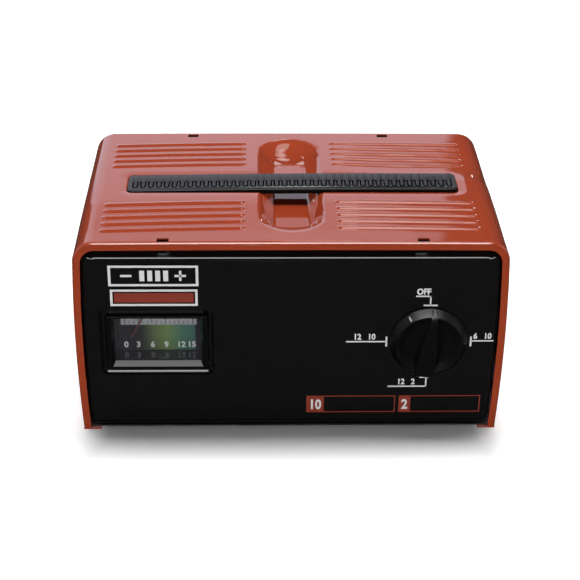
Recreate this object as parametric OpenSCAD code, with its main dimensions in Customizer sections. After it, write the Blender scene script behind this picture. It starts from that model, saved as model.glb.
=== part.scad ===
// Bench battery charger in a folded steel case.
// Frame: +X to the right, +Y to the rear, +Z up. The origin is on the surface the case
// stands on, midway between the side walls and midway between the front and rear rims.

/* [Case] */
// Width of the case across the foot of its side walls
case_w = 230; // [200:1:280]
// Depth of the case from front rim to rear rim
case_d = 148; // [146:1:180]
// Height of the top sheet above the standing surface
case_h = 117; // [112:1:145]
// Outward bow of each side wall at half height
side_bow = 1.7; // [0.8:0.1:3]
// Outer radius of the two long top corners
corner_r = 12; // [9:0.5:20]
// Thickness of the folded steel sheet
sheet_t = 1; // [0.8:0.1:1.3]
// Width of the turned-in rim round the front and the rear
rim_w = 4.3; // [3.5:0.1:7]
// Outer radius of the fold between a wall and its rim
rim_bend = 2.2; // [1.6:0.1:3]
// Width of the turned-in strip under each side wall
foot_w = 10; // [6:0.5:16]

/* [Top sheet] */
// Length of one pressed bead, outer end to inner end
bead_len = 77; // [50:1:80]
// Width of one pressed bead
bead_w = 4.6; // [3:0.1:5.5]
// Height of one pressed bead above the sheet
bead_h = 0.8; // [0.5:0.1:1.2]
// Distance from one bead to the next
bead_pitch = 7.6; // [6.5:0.1:8.2]
// Beads in each group
bead_count = 5; // [2:1:5]
// Distance from the case middle to the inner end of the beads
bead_in = 24.5; // [23:0.5:26]
// Distance from the case middle to the first bead row
bead_first = 25.6; // [24:0.2:27]
// Length of the finger well at the top sheet
well_len = 120; // [100:1:122]
// Width of the finger well at the top sheet
well_w = 40.4; // [34:0.2:43]
// Length of the flat well floor
well_floor_len = 80; // [66:1:92]
// Width of the flat well floor
well_floor_w = 19.6; // [16:0.2:24]
// Depth of the finger well
well_depth = 8.4; // [7:0.1:10]
// Distance of the well's middle behind the case middle
well_y = 2.5; // [0:0.5:3]
// Length of a locating slot in the top sheet
slot_len = 6.6; // [5:0.1:9]
// Width of a locating slot in the top sheet
slot_w = 3; // [2.4:0.1:3.4]
// Distance of the front slots from the case middle
slot_front_x = 69; // [50:1:90]
// Distance of the rear slots from the case middle
slot_rear_x = 57; // [50:1:90]

/* [Carrying strap] */
// Length of the strap
strap_len = 185.5; // [150:0.5:190]
// Width of the strap
strap_w = 21.6; // [18:0.2:24]
// Thickness of the strap
strap_t = 2.9; // [2:0.1:3.2]
// Depth of the wavy groove in the strap's top
groove_d = 1; // [0.3:0.1:1.4]
// Distance from one wave of the groove to the next
wave_pitch = 4.425; // [4:0.025:5.5]
// Width of the tongues inside the groove's waves
tongue_w = 1.9; // [1.6:0.1:2.4]
// Width of the groove
groove_w = 0.65; // [0.4:0.05:0.75]
// Width of the plain band in front of the groove
band_w = 4.1; // [3:0.1:6]
// Depth of the pocket the strap lies in
pocket_depth = 1.8; // [1.2:0.1:2.4]
// Space round the strap in its pocket
pocket_gap = 3.4; // [2:0.1:4]
// Sideways set of the strap in its pocket
strap_x = 1.8; // [0:0.1:2]
// Height the strap can be pulled up
strap_lift = 8; // [4:0.5:10]
// Diameter of the strap's studs
stud_d = 6; // [5:0.5:8]

/* [Meter] */
// Distance of the meter's middle from the left foot of the case
meter_in = 42.7; // [40:0.1:50]
// Height of the window's lower edge
window_z = 42.1; // [38:0.1:50]
// Width of the meter window
window_w = 46.6; // [40:0.1:48]
// Height of the meter window
window_h = 25.4; // [22:0.1:27]
// Depth from the lens to the scale plate
scale_depth = 10.6; // [9:0.1:12]
// Length of the needle from pivot to tip
needle_len = 31.6; // [28:0.1:32]
// Angle of the resting needle from straight down
needle_rest = 29; // [24:1:33]

/* [Selector] */
// Distance of the selector's middle from the right foot of the case
selector_in = 40.4; // [36:0.1:48]
// Height of the selector's middle
selector_z = 56.2; // [50:0.1:62]
// Diameter of the knob's skirt
knob_d = 42; // [36:0.5:46]
// Diameter of the knob's face
knob_face_d = 37; // [30:0.5:38]
// Depth of the knob from skirt to face
knob_t = 7; // [6.4:0.1:9]
// Width of the grip bar across the knob's face
grip_w = 10; // [8:0.2:13]
// Angle by which the resting knob has run past its top mark
knob_rest = 6.5; // [0:0.5:8]
// Diameter of the switch shaft
shaft_d = 6; // [5:0.1:6.4]

/* [Transformer] */
// Width of the transformer core
core_w = 84; // [76:1:90]
// Height of the transformer core
core_h = 70; // [60:1:76]
// Thickness of the core's stack of laminations
core_stack = 38; // [30:1:44]
// Distance of the core's middle behind the case middle
core_y = 18; // [14:1:20]

/* [Cable inlets] */
// Inside diameter of the mains inlet bushing
mains_bore_d = 9; // [7:0.5:11]
// Inside diameter of the output inlet bushing
output_bore_d = 12; // [9:0.5:14]
// Distance of the mains inlet from the case middle
mains_x = 78; // [60:1:84]
// Distance of the output inlet from the case middle
output_x = 78; // [60:1:84]
// Height of both inlets
inlet_z = 26; // [22:1:32]

/* [Fits] */
// Space between pieces that seat on each other
seat_gap = 0.3; // [0.2:0.05:0.4]
// Radial space of a screw in its clearance hole
screw_gap = 0.3; // [0.2:0.05:0.5]
// Radial space of a shaft in its bearing
run_gap = 0.05; // [0.02:0.01:0.1]

/* [Hidden] */

$fn = 48;
side_steps = 12;          // flats along one bowed wall
corner_steps = 8;         // flats round one top corner
bend_steps = 5;           // flats round a fold
hull_fn = 32;             // sides of round corners inside a hull
eps = 0.01;               // overlap that joins shapes of one piece
cut = 1;                  // how far a cutting shape runs past a face

// Outline of the case: two bowed walls, two round corners and a flat top
bow_z = case_h / 2;
bow_r = (bow_z * bow_z + side_bow * side_bow) / (2 * side_bow);
bow_x = case_w / 2 + side_bow - bow_r;
corner_z = case_h - corner_r;
corner_a = asin((corner_z - bow_z) / (bow_r - corner_r));
corner_x = bow_x + (bow_r - corner_r) * cos(corner_a);

// Heights of the stack on the case's foot strips
tray_z = sheet_t + seat_gap;
tray_top = tray_z + sheet_t;
tray_half_w = case_w / 2 - sheet_t - seat_gap;
tray_side_h = 16;
tray_bend = 2;

// Front and rear panels
panel_gap = 0.4;          // space between a panel's folds and the rim
panel_set = 0.1;          // how far a panel's face lies behind the rim's face
panel_in = rim_w + panel_gap;
panel_bend = 5;           // outer radius of the folds round the front panel
rear_bend = 3;
panel_fold = 13;          // depth of a panel's top and side folds
panel_face_y = -case_d / 2 + panel_set;
panel_back_y = panel_face_y + sheet_t;
panel_low = tray_top + seat_gap;
foot_bend = 3;            // outer radius of the fold under a panel
foot_fold = 16;           // depth of the fold that lies on the tray
slot_front_y = -case_d / 2 + 5.4;
slot_rear_y = case_d / 2 - 3.8;
tab_gap = 0.4;

// Beads of the top sheet
bead_r = (bead_w * bead_w / 4 + bead_h * bead_h) / (2 * bead_h);
bead_drop = bead_r - bead_h;

// Carrying strap
strap_y = -0.5;
pocket_z = case_h - pocket_depth;
strap_z = pocket_z + seat_gap;
strap_corner = 3.4;
pocket_len = strap_len + 2 * pocket_gap + 2 * strap_x;
pocket_w = strap_w + 2 * pocket_gap;
pocket_corner = 5;
stud_in = 10;             // distance from the strap's end to its stud
stud_x = strap_len / 2 - stud_in;
stud_gap = 0.5;
retainer_d = 14;
retainer_t = 1.2;
retainer_top = pocket_z - sheet_t - strap_lift - seat_gap;
stud_low = retainer_top - retainer_t - 1.5;
strap_margin = 4.2;       // plain length at each end of the groove
wave_count = floor((strap_len - 2 * strap_margin) / wave_pitch) + 1;
wave_r = tongue_w / 2 + groove_w;
peak_r = wave_pitch / 2 - wave_r;
peak_back = 5.7;          // from the waves' centres to the tips of the band between them
groove_back = 6.6;        // from the waves' centres to the groove's rear side

// Meter, with depths counted from the front panel's face
meter_x = -case_w / 2 + meter_in;
lip_r = 2;                // outer radius of the rolled edge round the window opening
lip_len = 1;
frame_front = 1.2;        // depth of the bezel's face
bevel_side = 1.5;
bevel_low = 2.2;
bevel_depth = 2.2;
frame_side = 3;           // flat width beside the bevel
frame_low = 1.2;
frame_top = 1.9;
frame_w = window_w + 2 * (bevel_side + frame_side);
frame_z0 = window_z - bevel_low - frame_low;
frame_z1 = window_z + window_h + bevel_low + frame_top;
opening_w = frame_w + 2 * seat_gap;
opening_z0 = frame_z0 - seat_gap;
opening_z1 = frame_z1 + 2.6;
frame_corner = 1.2;       // rounding of the bezel's outer corners
opening_r = frame_corner + seat_gap;
flange_y = lip_r + lip_len + seat_gap;
flange_side = 3.5;
flange_t = 1.4;
lens_depth = frame_front + bevel_depth;
lens_rebate = 1.6;
housing_wall = 1.2;
housing_front = flange_y + flange_t;
lens_t = housing_front - lens_depth - 0.05;
scale_y = housing_front + scale_depth;
scale_t = 0.8;
housing_deep = 13;        // depth of the housing behind the scale plate
housing_back = scale_y + scale_t + housing_deep;
pivot_z = window_z + 36.9;
housing_z1 = pivot_z + 8;
housing_in_w = window_w + 0.6;
floor_z = window_z + 0.3;
spindle_d = 1.6;
needle_y = scale_y - 2.2;
needle_w = 0.9;
needle_t = 0.4;

// Selector, with depths counted from the front panel's face
selector_x = case_w / 2 - selector_in;
knob_stand = 0.8;         // space between the skirt and the panel
knob_wall = 2.2;
dish_depth = 4.4;
dish_wall = 1.4;
pointer_w = 1.4;
pointer_t = 0.5;
bush_d = 9.6;
nut_flats = 14;
nut_t = 2;
hub_d = 13;
switch_w = 36;
switch_t = 17;
switch_wall = 1.6;
rotor_d = 27;
blade_len = 8;

// Transformer
core_z = tray_top + sheet_t + 2 * seat_gap;
leg_w = core_w / 3;       // width of the middle leg
limb_w = core_w / 6;      // width of each outer limb and yoke
bobbin_t = 1.2;
coil_out = 13;            // reach of the coils in front of and behind the core
coil_gap = 0.5;
frame_t = 1.5;
frame_foot = 11;
frame_screw_d = 4;

// Rectifier
sink_x = -74;
sink_y = 18;
sink_len = 56;
sink_h = 46;
sink_t = 2.5;
sink_foot = 16;
diode_d = 12.8;
diode_pitch = 26;
diode_z = 30;

// Terminal block and circuit breaker on the tray
block_x = 76;
block_y = 20;
block_len = 40;
block_w = 16;
block_h = 12;
way_count = 4;
breaker_x = 24;
breaker_y = -42;
breaker_len = 30;
breaker_w = 15;
breaker_h = 13;

// Inlets
bush_lip = 2.6;
bush_wall = 2;
bush_flange_t = 1.6;
bush_barrel = 7;
bush_out = knob_stand + knob_t;    // the collar stands out as far as the knob

// Fasteners
screw_d = 3.8;
screw_head_d = 7.6;
screw_head_h = 2;
screw_len = 9;
screw_y = case_d / 2 - 26;
screw_z = 9.5;
rivet_d = 3.2;
rivet_head_d = 6;
rivet_head_h = 0.8;
rivet_x = 62;
rivet_y = case_d / 2 - 9;

// Wire sizes
mains_wire_d = 2.4;
heavy_wire_d = 4;

cover_colour = "#b5382a";
black_paint = "#1c1c1d";
strap_colour = "#5e6164";
black_plastic = "#232325";
steel = "#b9bcc0";
copper = "#b5713c";
phenolic = "#4a3324";

// X of the wall's surface, inset from the outside, at a height
function wall_x(inset, z) = bow_x + sqrt(pow(bow_r - inset, 2) - pow(z - bow_z, 2));

// Points on an arc about a centre, from one angle to another
function arc_points(centre, r, from, to) = [for (i = [0 : bend_steps])
    let (a = from + (to - from) * i / bend_steps) centre + r * [cos(a), sin(a)]];

function reversed(list) = [for (i = [len(list) - 1 : -1 : 0]) list[i]];

// Stations along the right half of the case outline, from a height up to the flat top:
// each holds x, z and the outward direction of the wall
function half_outline(low) = let (low_a = asin((low - bow_z) / bow_r)) concat(
    [[wall_x(0, low), low, 1, 0]],
    [for (i = [1 : side_steps]) let (a = low_a + (corner_a - low_a) * i / side_steps)
        [bow_x + bow_r * cos(a), bow_z + bow_r * sin(a), cos(a), sin(a)]],
    [for (i = [1 : corner_steps]) let (a = corner_a + (90 - corner_a) * i / corner_steps)
        [corner_x + corner_r * cos(a), corner_z + corner_r * sin(a), cos(a), sin(a)]]);

// The same over the top and down the left side
function outline(low) = let (half = half_outline(low))
    concat(half, [for (p = reversed(half)) [-p[0], p[1], -p[2], p[3]]]);

// ---- shared shapes ----

// Folded sheet along the case outline. Both lists hold points of the sheet's section: x is
// the distance outwards from the outline and y is the depth.
module sheet_sweep(low, outer, inner) {
    path = outline(low);
    ring = concat(outer, reversed(inner));
    n = len(ring);
    m = len(outer);
    last = (len(path) - 1) * n;
    polyhedron(
        points = [for (p = path, q = ring) [p[0] + p[2] * q[0], q[1], p[1] + p[3] * q[0]]],
        faces = concat(
            [for (k = [0 : len(path) - 2], j = [0 : n - 1])
                [k * n + j, (k + 1) * n + j, (k + 1) * n + (j + 1) % n, k * n + (j + 1) % n]],
            [for (j = [0 : m - 2]) [j, j + 1, n - 2 - j, n - 1 - j]],
            [for (j = [0 : m - 2]) [last + j, last + n - 1 - j, last + n - 2 - j, last + j + 1]]));
}

// Flat region inside the case outline, inset from the outside, from low up
module case_region(inset, low) {
    polygon([for (p = outline(low)) [p[0] - p[2] * inset, p[1] - p[3] * inset]]);
}

// Sweeps a section round a rounded rectangle in the XZ plane, centred on the origin
module frame_sweep(w, h, r) {
    for (k = [0, 1, 2, 3]) rotate([0, 90 * k, 0]) {
        across = k % 2 == 0 ? w : h;
        up = k % 2 == 0 ? h : w;
        translate([-across / 2 + r, 0, up / 2]) rotate([90, 0, 90])
            linear_extrude(across - 2 * r) rotate(90) mirror([0, 1]) children();
        translate([across / 2 - r, 0, up / 2 - r]) rotate([90, 0, 0])
            rotate_extrude(angle = 90) translate([r, 0]) mirror([0, 1]) children();
    }
}

// Rounded rectangle, centred
module round_rect(w, h, r) {
    square([w - 2 * r, h], center = true);
    square([w, h - 2 * r], center = true);
    for (x = [-1, 1], y = [-1, 1]) translate([x * (w / 2 - r), y * (h / 2 - r)]) circle(r);
}

// Plate standing in the XZ plane: its front lies at y and it reaches t to the rear
module upright(y, t) {
    translate([0, y + t, 0]) rotate([90, 0, 0]) linear_extrude(t) children();
}

// Quarter of a round sheet fold, from the face at y = 0 towards x = 0
module fold_quarter(r, t) {
    translate([-r, r]) intersection() {
        difference() {
            circle(r);
            circle(r - t);
        }
        translate([0, -r]) square([r, r]);
    }
}

// Straight rod between two points
module rod(a, b, d) {
    v = b - a;
    len = norm(v);
    translate(a) rotate([0, acos(v[2] / len), atan2(v[1], v[0])]) cylinder(h = len, d = d);
}

// Insulated wire through a list of points, with round bends
module wire(points, d) {
    for (i = [0 : len(points) - 2]) rod(points[i], points[i + 1], d);
    for (i = [1 : 1 : len(points) - 2]) translate(points[i]) sphere(d = d + 0.4);
}

// ---- cover ----

// Wall with a turned-in rim at the front and at the rear
module folded_walls() {
    front = -case_d / 2 + rim_bend;
    outer = concat([[-rim_w, -case_d / 2]], arc_points([-rim_bend, front], rim_bend, -90, 0));
    inner = concat([[-rim_w, -case_d / 2 + sheet_t]],
        arc_points([-rim_bend, front], rim_bend - sheet_t, -90, 0));
    sheet_sweep(0, concat(outer, [for (p = reversed(outer)) [p[0], -p[1]]]),
        concat(inner, [for (p = reversed(inner)) [p[0], -p[1]]]));
}

// One pressed bead on the top sheet, lowered by drop
module bead(drop) {
    end_r = bead_w / 2 + 0.1;
    intersection() {
        translate([-bead_len / 2, 0, case_h - bead_drop - drop]) rotate([0, 90, 0])
            cylinder(h = bead_len, r = bead_r);
        translate([0, 0, case_h - sheet_t - drop - 0.5]) linear_extrude(sheet_t + bead_h + cut) {
            square([bead_len - 2 * end_r, 2 * end_r], center = true);
            for (s = [-1, 1]) translate([s * (bead_len / 2 - end_r), 0]) circle(end_r);
        }
    }
}

module bead_places() {
    for (sx = [-1, 1], sy = [-1, 1], i = [0 : bead_count - 1])
        translate([sx * (bead_in + bead_len / 2), sy * (bead_first + i * bead_pitch), 0])
            children();
}

// Finger well, grown by wall and reaching up to top_z
module well(wall, top_z) {
    rim_r = well_w / 2 - 3;
    floor_r = well_floor_w / 2 - 1;
    translate([0, well_y, 0]) hull() {
        translate([0, 0, case_h]) linear_extrude(max(top_z - case_h, eps))
            round_rect(well_w + 2 * wall, well_len + 2 * wall, rim_r, $fn = hull_fn);
        translate([0, 0, case_h - well_depth - wall]) linear_extrude(eps)
            round_rect(well_floor_w + wall, well_floor_len + wall, floor_r, $fn = hull_fn);
    }
}

module strap_pocket(wall, low_z, high_z) {
    translate([0, strap_y, low_z]) linear_extrude(high_z - low_z)
        round_rect(pocket_len + 2 * wall, pocket_w + 2 * wall, pocket_corner + wall);
}

module slot_places() {
    for (s = [-1, 1]) {
        translate([s * slot_front_x, slot_front_y, 0]) children();
        translate([s * slot_rear_x, slot_rear_y, 0]) children();
    }
}

module side_screw_places() {
    for (s = [0, 1], y = [-screw_y, screw_y])
        mirror([s, 0, 0]) translate([wall_x(0, screw_z), y, screw_z]) rotate([0, 90, 0]) children();
}

module cover() {
    color(cover_colour) difference() {
        union() {
            folded_walls();
            for (s = [0, 1]) mirror([s, 0, 0])
                translate([case_w / 2 - foot_w, -case_d / 2 + eps, 0])
                    cube([foot_w - sheet_t / 2, case_d - 2 * eps, sheet_t]);
            strap_pocket(sheet_t, pocket_z - sheet_t, case_h - eps);
            intersection() {
                well(sheet_t, case_h);
                translate([-case_w / 2, -case_d / 2, 0]) cube([case_w, case_d, case_h]);
            }
            intersection() {
                bead_places() bead(0);
                translate([-case_w / 2, -case_d / 2, case_h - sheet_t / 2])
                    cube([case_w, case_d, sheet_t + bead_h]);
            }
        }
        well(0, case_h + cut);
        strap_pocket(0, pocket_z, case_h + cut);
        intersection() {
            bead_places() bead(sheet_t);
            translate([-case_w / 2, -case_d / 2, case_h - sheet_t - cut])
                cube([case_w, case_d, cut + bead_h]);
        }
        slot_places() translate([-slot_len / 2, -slot_w / 2, case_h - sheet_t - cut])
            cube([slot_len, slot_w, sheet_t + 2 * cut]);
        for (s = [-1, 1]) translate([strap_x + s * stud_x, strap_y, pocket_z - sheet_t - cut])
            cylinder(h = sheet_t + 2 * cut, r = stud_d / 2 + stud_gap);
        side_screw_places() translate([0, 0, -screw_len])
            cylinder(h = 2 * screw_len, r = screw_d / 2 + screw_gap);
    }
}

// ---- panels and tray ----

// Folded panel standing with its face to the front
module folded_panel(r) {
    side_low = panel_low + foot_bend;
    half = wall_x(panel_in + r, side_low);
    bend = [-panel_in - r, panel_face_y + r];
    sheet_sweep(side_low,
        concat(arc_points(bend, r, -90, 0), [[-panel_in, panel_face_y + panel_fold]]),
        concat(arc_points(bend, r - sheet_t, -90, 0),
            [[-panel_in - sheet_t, panel_face_y + panel_fold]]));
    upright(panel_face_y, sheet_t) case_region(panel_in + r, side_low);
    translate([-half, panel_face_y, panel_low]) rotate([90, 0, 90]) linear_extrude(2 * half) {
        difference() {
            square(foot_bend);
            translate([foot_bend, foot_bend]) circle(foot_bend - sheet_t);
            difference() {
                translate([-cut, -cut]) square(foot_bend + cut);
                translate([foot_bend, foot_bend]) circle(foot_bend);
            }
        }
        translate([foot_bend, 0]) square([foot_fold - foot_bend, sheet_t]);
    }
}

// Locating tab that stands in a slot of the top sheet
module slot_tab() {
    low = case_h - panel_in - sheet_t;
    translate([-slot_len / 2 + tab_gap, -sheet_t / 2, low])
        cube([slot_len - 2 * tab_gap, sheet_t, case_h - 2 * tab_gap - low]);
}

module rivet_places(s) {
    for (x = [-rivet_x, 0, rivet_x]) translate([x, s * rivet_y, 0]) children();
}

module rivet_holes(s) {
    rivet_places(s) translate([0, 0, tray_z - cut])
        cylinder(h = panel_low + sheet_t - tray_z + 2 * cut, r = rivet_d / 2 + run_gap);
}

module meter_opening(grow, y, t) {
    translate([meter_x, 0, (opening_z0 + opening_z1) / 2]) upright(y, t)
        round_rect(opening_w + 2 * grow, opening_z1 - opening_z0 + 2 * grow, opening_r + grow);
}

module front_panel() {
    color(black_paint) difference() {
        union() {
            difference() {
                folded_panel(panel_bend);
                meter_opening(lip_r, panel_face_y - cut, sheet_t + 2 * cut);
            }
            translate([meter_x, panel_face_y, (opening_z0 + opening_z1) / 2])
                frame_sweep(opening_w, opening_z1 - opening_z0, opening_r) {
                    mirror([1, 0]) fold_quarter(lip_r, sheet_t);
                    translate([0, lip_r - eps]) square([sheet_t, lip_len]);
                }
            for (s = [-1, 1]) translate([s * slot_front_x, slot_front_y, 0]) slot_tab();
        }
        translate([selector_x, panel_face_y - cut, selector_z]) rotate([-90, 0, 0])
            cylinder(h = sheet_t + 2 * cut, r = bush_d / 2 + screw_gap);
        rivet_holes(-1);
    }
}

// Vent slots in the rear panel, as seen from behind
module vent_slots() {
    for (s = [-1, 1], i = [0 : 6]) translate([s * (18 + i * 11), 78]) {
        square([4, 28], center = true);
        for (e = [-1, 1]) translate([0, e * 14]) circle(d = 4);
    }
}

module rear_panel() {
    color(black_paint) difference() {
        union() {
            mirror([0, 1, 0]) folded_panel(rear_bend);
            for (s = [-1, 1]) translate([s * slot_rear_x, slot_rear_y, 0]) slot_tab();
        }
        upright(case_d / 2 - panel_set - sheet_t - cut, sheet_t + 2 * cut) vent_slots();
        translate([mains_x, case_d / 2, inlet_z]) rotate([90, 0, 0])
            cylinder(h = 3 * sheet_t, r = mains_bore_d / 2 + bush_wall + screw_gap);
        translate([-output_x, case_d / 2, inlet_z]) rotate([90, 0, 0])
            cylinder(h = 3 * sheet_t, r = output_bore_d / 2 + bush_wall + screw_gap);
        rivet_holes(1);
    }
}

module frame_screw_places() {
    for (x = [-1, 1], y = [-1, 1])
        translate([x * (core_w / 2 + frame_t + frame_foot / 2), core_y + y * core_stack / 4, 0])
            children();
}

module sink_screw_places() {
    for (y = [-1, 1])
        translate([sink_x + sink_t + sink_foot / 2, sink_y + y * (sink_len / 2 - 10), 0]) children();
}

module base_tray() {
    half_len = case_d / 2 - sheet_t - seat_gap;
    color(steel) difference() {
        translate([0, half_len, tray_z]) rotate([90, 0, 0]) linear_extrude(2 * half_len) {
            translate([-tray_half_w + tray_bend, 0])
                square([2 * (tray_half_w - tray_bend), sheet_t]);
            for (s = [0, 1]) mirror([s, 0]) {
                translate([tray_half_w - sheet_t, tray_bend])
                    square([sheet_t, tray_side_h - tray_bend]);
                translate([tray_half_w - tray_bend, tray_bend]) intersection() {
                    difference() {
                        circle(tray_bend);
                        circle(tray_bend - sheet_t);
                    }
                    translate([0, -tray_bend]) square(tray_bend);
                }
            }
        }
        side_screw_places() translate([0, 0, -screw_len])
            cylinder(h = screw_len, r = screw_d / 2 + run_gap);
        for (s = [-1, 1]) rivet_holes(s);
        frame_screw_places() translate([0, 0, tray_z - cut])
            cylinder(h = sheet_t + 2 * cut, r = frame_screw_d / 2 + run_gap);
        sink_screw_places() translate([0, 0, tray_z - cut])
            cylinder(h = sheet_t + 2 * cut, r = screw_d / 2 + run_gap);
    }
}

// ---- carrying strap ----

// Outline of the wavy groove, with its waves' centres on the X axis
module strap_groove() {
    first = -(wave_count - 1) / 2 * wave_pitch;
    difference() {
        union() {
            translate([first - wave_r, 0]) square([2 * (wave_r - first), groove_back]);
            for (i = [0 : wave_count - 1]) translate([first + i * wave_pitch, 0]) circle(r = wave_r);
        }
        for (i = [0 : wave_count - 1]) translate([first + i * wave_pitch, 0]) {
            circle(d = tongue_w);
            translate([-tongue_w / 2, 0]) square([tongue_w, groove_back + cut]);
        }
        for (i = [0 : wave_count - 2]) translate([first + (i + 0.5) * wave_pitch, 0]) {
            translate([0, peak_back - peak_r]) circle(r = peak_r);
            translate([-peak_r, -cut]) square([2 * peak_r, peak_back - peak_r + cut]);
        }
    }
}

module handle_strap() {
    color(strap_colour) translate([strap_x, strap_y, 0]) {
        difference() {
            translate([0, 0, strap_z]) linear_extrude(strap_t)
                round_rect(strap_len, strap_w, strap_corner);
            translate([0, band_w + wave_r - strap_w / 2, strap_z + strap_t - groove_d])
                linear_extrude(groove_d + cut) strap_groove();
        }
        for (s = [-1, 1]) translate([s * stud_x, 0, stud_low])
            cylinder(h = strap_z - stud_low + eps, d = stud_d);
    }
}

module handle_retainers() {
    color(steel) for (s = [-1, 1]) translate([strap_x + s * stud_x, strap_y, retainer_top - retainer_t])
        difference() {
            cylinder(h = retainer_t, d = retainer_d);
            translate([0, 0, -cut]) cylinder(h = retainer_t + 2 * cut, r = stud_d / 2 + run_gap);
        }
}

// ---- meter ----

// Block behind the front panel from depth y0 to depth y1, between two heights
module meter_block(w, z0, z1, y0, y1) {
    translate([meter_x - w / 2, panel_face_y + y0, z0]) cube([w, y1 - y0, z1 - z0]);
}

module meter_bezel() {
    window_z1 = window_z + window_h;
    color(black_plastic) difference() {
        union() {
            translate([meter_x, 0, (frame_z0 + frame_z1) / 2])
                upright(panel_face_y + frame_front, flange_y + eps - frame_front)
                    round_rect(frame_w, frame_z1 - frame_z0, frame_corner);
            meter_block(opening_w + 2 * flange_side, opening_z0 - flange_side,
                opening_z1 + flange_side, flange_y, housing_front);
        }
        hull() {
            meter_block(window_w + 2 * bevel_side, window_z - bevel_low, window_z1 + bevel_low,
                frame_front - eps, frame_front);
            meter_block(window_w, window_z, window_z1, lens_depth - eps, lens_depth);
        }
        meter_block(window_w, window_z, window_z1, lens_depth - cut, housing_front + cut);
        meter_block(window_w + 2 * lens_rebate, window_z - lens_rebate, window_z1 + lens_rebate,
            lens_depth, housing_front + cut);
    }
}

module meter_lens() {
    slack = 2 * lens_rebate - 2 * run_gap;
    color("#dfe8ea", 0.35) meter_block(window_w + slack, window_z - slack / 2,
        window_z + window_h + slack / 2, lens_depth, lens_depth + lens_t);
}

// Open-fronted box behind the bezel, closed above the window
module meter_housing() {
    out_w = housing_in_w + 2 * housing_wall;
    color(black_plastic) difference() {
        meter_block(out_w, floor_z - housing_wall, housing_z1 + housing_wall,
            housing_front, housing_back + housing_wall);
        meter_block(housing_in_w, floor_z, housing_z1, housing_front + housing_wall, housing_back);
        meter_block(housing_in_w, floor_z, window_z + window_h + lens_rebate,
            housing_front - cut, housing_front + 2 * housing_wall);
        for (s = [-1, 1]) translate([meter_x + s * 14, panel_face_y + housing_back - cut, pivot_z])
            rotate([-90, 0, 0]) cylinder(h = 2 * cut + housing_wall, r = 2 + screw_gap);
    }
}

module meter_scale() {
    color("#3b4438") difference() {
        meter_block(housing_in_w - 2 * run_gap, floor_z + run_gap, housing_z1 - run_gap,
            scale_y, scale_y + scale_t);
        translate([meter_x, panel_face_y + scale_y - cut, pivot_z]) rotate([-90, 0, 0])
            cylinder(h = scale_t + 2 * cut, r = spindle_d);
    }
}

// Two bearing plates joined by a web, behind the scale plate
module meter_frame() {
    y0 = scale_y + scale_t;
    color("#c8a24a") difference() {
        union() {
            meter_block(16, pivot_z - 6, pivot_z + 6, y0, y0 + 1.2);
            meter_block(16, pivot_z - 6, pivot_z + 6, housing_back - 1.6, housing_back);
            meter_block(16, pivot_z + 4.8, pivot_z + 6, y0, housing_back);
        }
        translate([meter_x, panel_face_y + y0 - cut, pivot_z]) rotate([-90, 0, 0])
            cylinder(h = housing_deep, r = spindle_d / 2 + run_gap);
    }
}

module meter_magnet() {
    color(steel) meter_block(12, pivot_z - 12, pivot_z - 7, housing_back - 6, housing_back);
}

// Two terminal studs of the coil strap, through the back of the housing
module meter_studs() {
    color(copper) for (s = [-1, 1])
        translate([meter_x + s * 14, panel_face_y + housing_back, pivot_z]) rotate([-90, 0, 0]) {
            translate([0, 0, -1.4]) cylinder(h = 1.4, d = 8);
            cylinder(h = 9, d = 4);
            translate([0, 0, housing_wall + run_gap]) cylinder(h = 3, d = 7 / cos(30), $fn = 6);
        }
}

module meter_needle() {
    spindle_y0 = needle_y - 0.8;
    spindle_y1 = housing_back - 2.2;
    color("#c03a34") translate([meter_x, panel_face_y, pivot_z]) rotate([0, needle_rest, 0]) {
        translate([0, spindle_y0, 0]) rotate([-90, 0, 0])
            cylinder(h = spindle_y1 - spindle_y0, d = spindle_d);
        translate([0, needle_y, 0]) rotate([-90, 0, 0]) cylinder(h = 1, d = 3);
        translate([-needle_w / 2, needle_y, -needle_len]) cube([needle_w, needle_t, needle_len]);
        translate([-1, needle_y, 0]) cube([2, needle_t, 5]);
        translate([0, scale_y + scale_t + 3, 0]) rotate([-90, 0, 0]) cylinder(h = 1, d = 7);
    }
}

// Spring clips between the panel's back and the sides of the housing
module meter_clips() {
    out = housing_in_w / 2 + housing_wall;
    reach = 12;
    y0 = housing_front + seat_gap;
    color(steel) for (s = [0, 1])
        translate([meter_x, panel_face_y, floor_z + 8]) mirror([s, 0, 0]) {
            translate([out, y0 + eps, 0]) cube([1, reach, 10]);
            translate([out, y0, 0]) cube([4, 1, 10]);
        }
}

// ---- selector ----

module at_selector(depth) {
    translate([selector_x, panel_face_y + depth, selector_z]) rotate([90, 0, 0]) children();
}

// Knob: its own z axis points to the front, away from the panel
module selector_knob() {
    face = knob_stand + knob_t;
    dish_r = knob_face_d / 2 - dish_wall;
    color(black_plastic) at_selector(0) rotate([0, 0, -knob_rest]) difference() {
        translate([0, 0, knob_stand]) cylinder(h = knob_t, d1 = knob_d, d2 = knob_face_d);
        difference() {
            translate([0, 0, knob_stand - eps])
                cylinder(h = knob_t - dish_depth - 1, r = knob_face_d / 2 - knob_wall);
            translate([0, 0, nut_t + knob_stand]) cylinder(h = knob_t, d = hub_d);
        }
        translate([0, 0, knob_stand - eps]) cylinder(h = knob_t - 1.2, r = shaft_d / 2 + run_gap);
        for (s = [-1, 1]) intersection() {
            translate([0, 0, face - dish_depth]) cylinder(h = dish_depth + cut, r = dish_r);
            translate([s > 0 ? grip_w / 2 : -grip_w / 2 - knob_d, -knob_d, 0])
                cube([knob_d, 2 * knob_d, face + cut]);
        }
        knob_mark(run_gap);
    }
}

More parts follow.
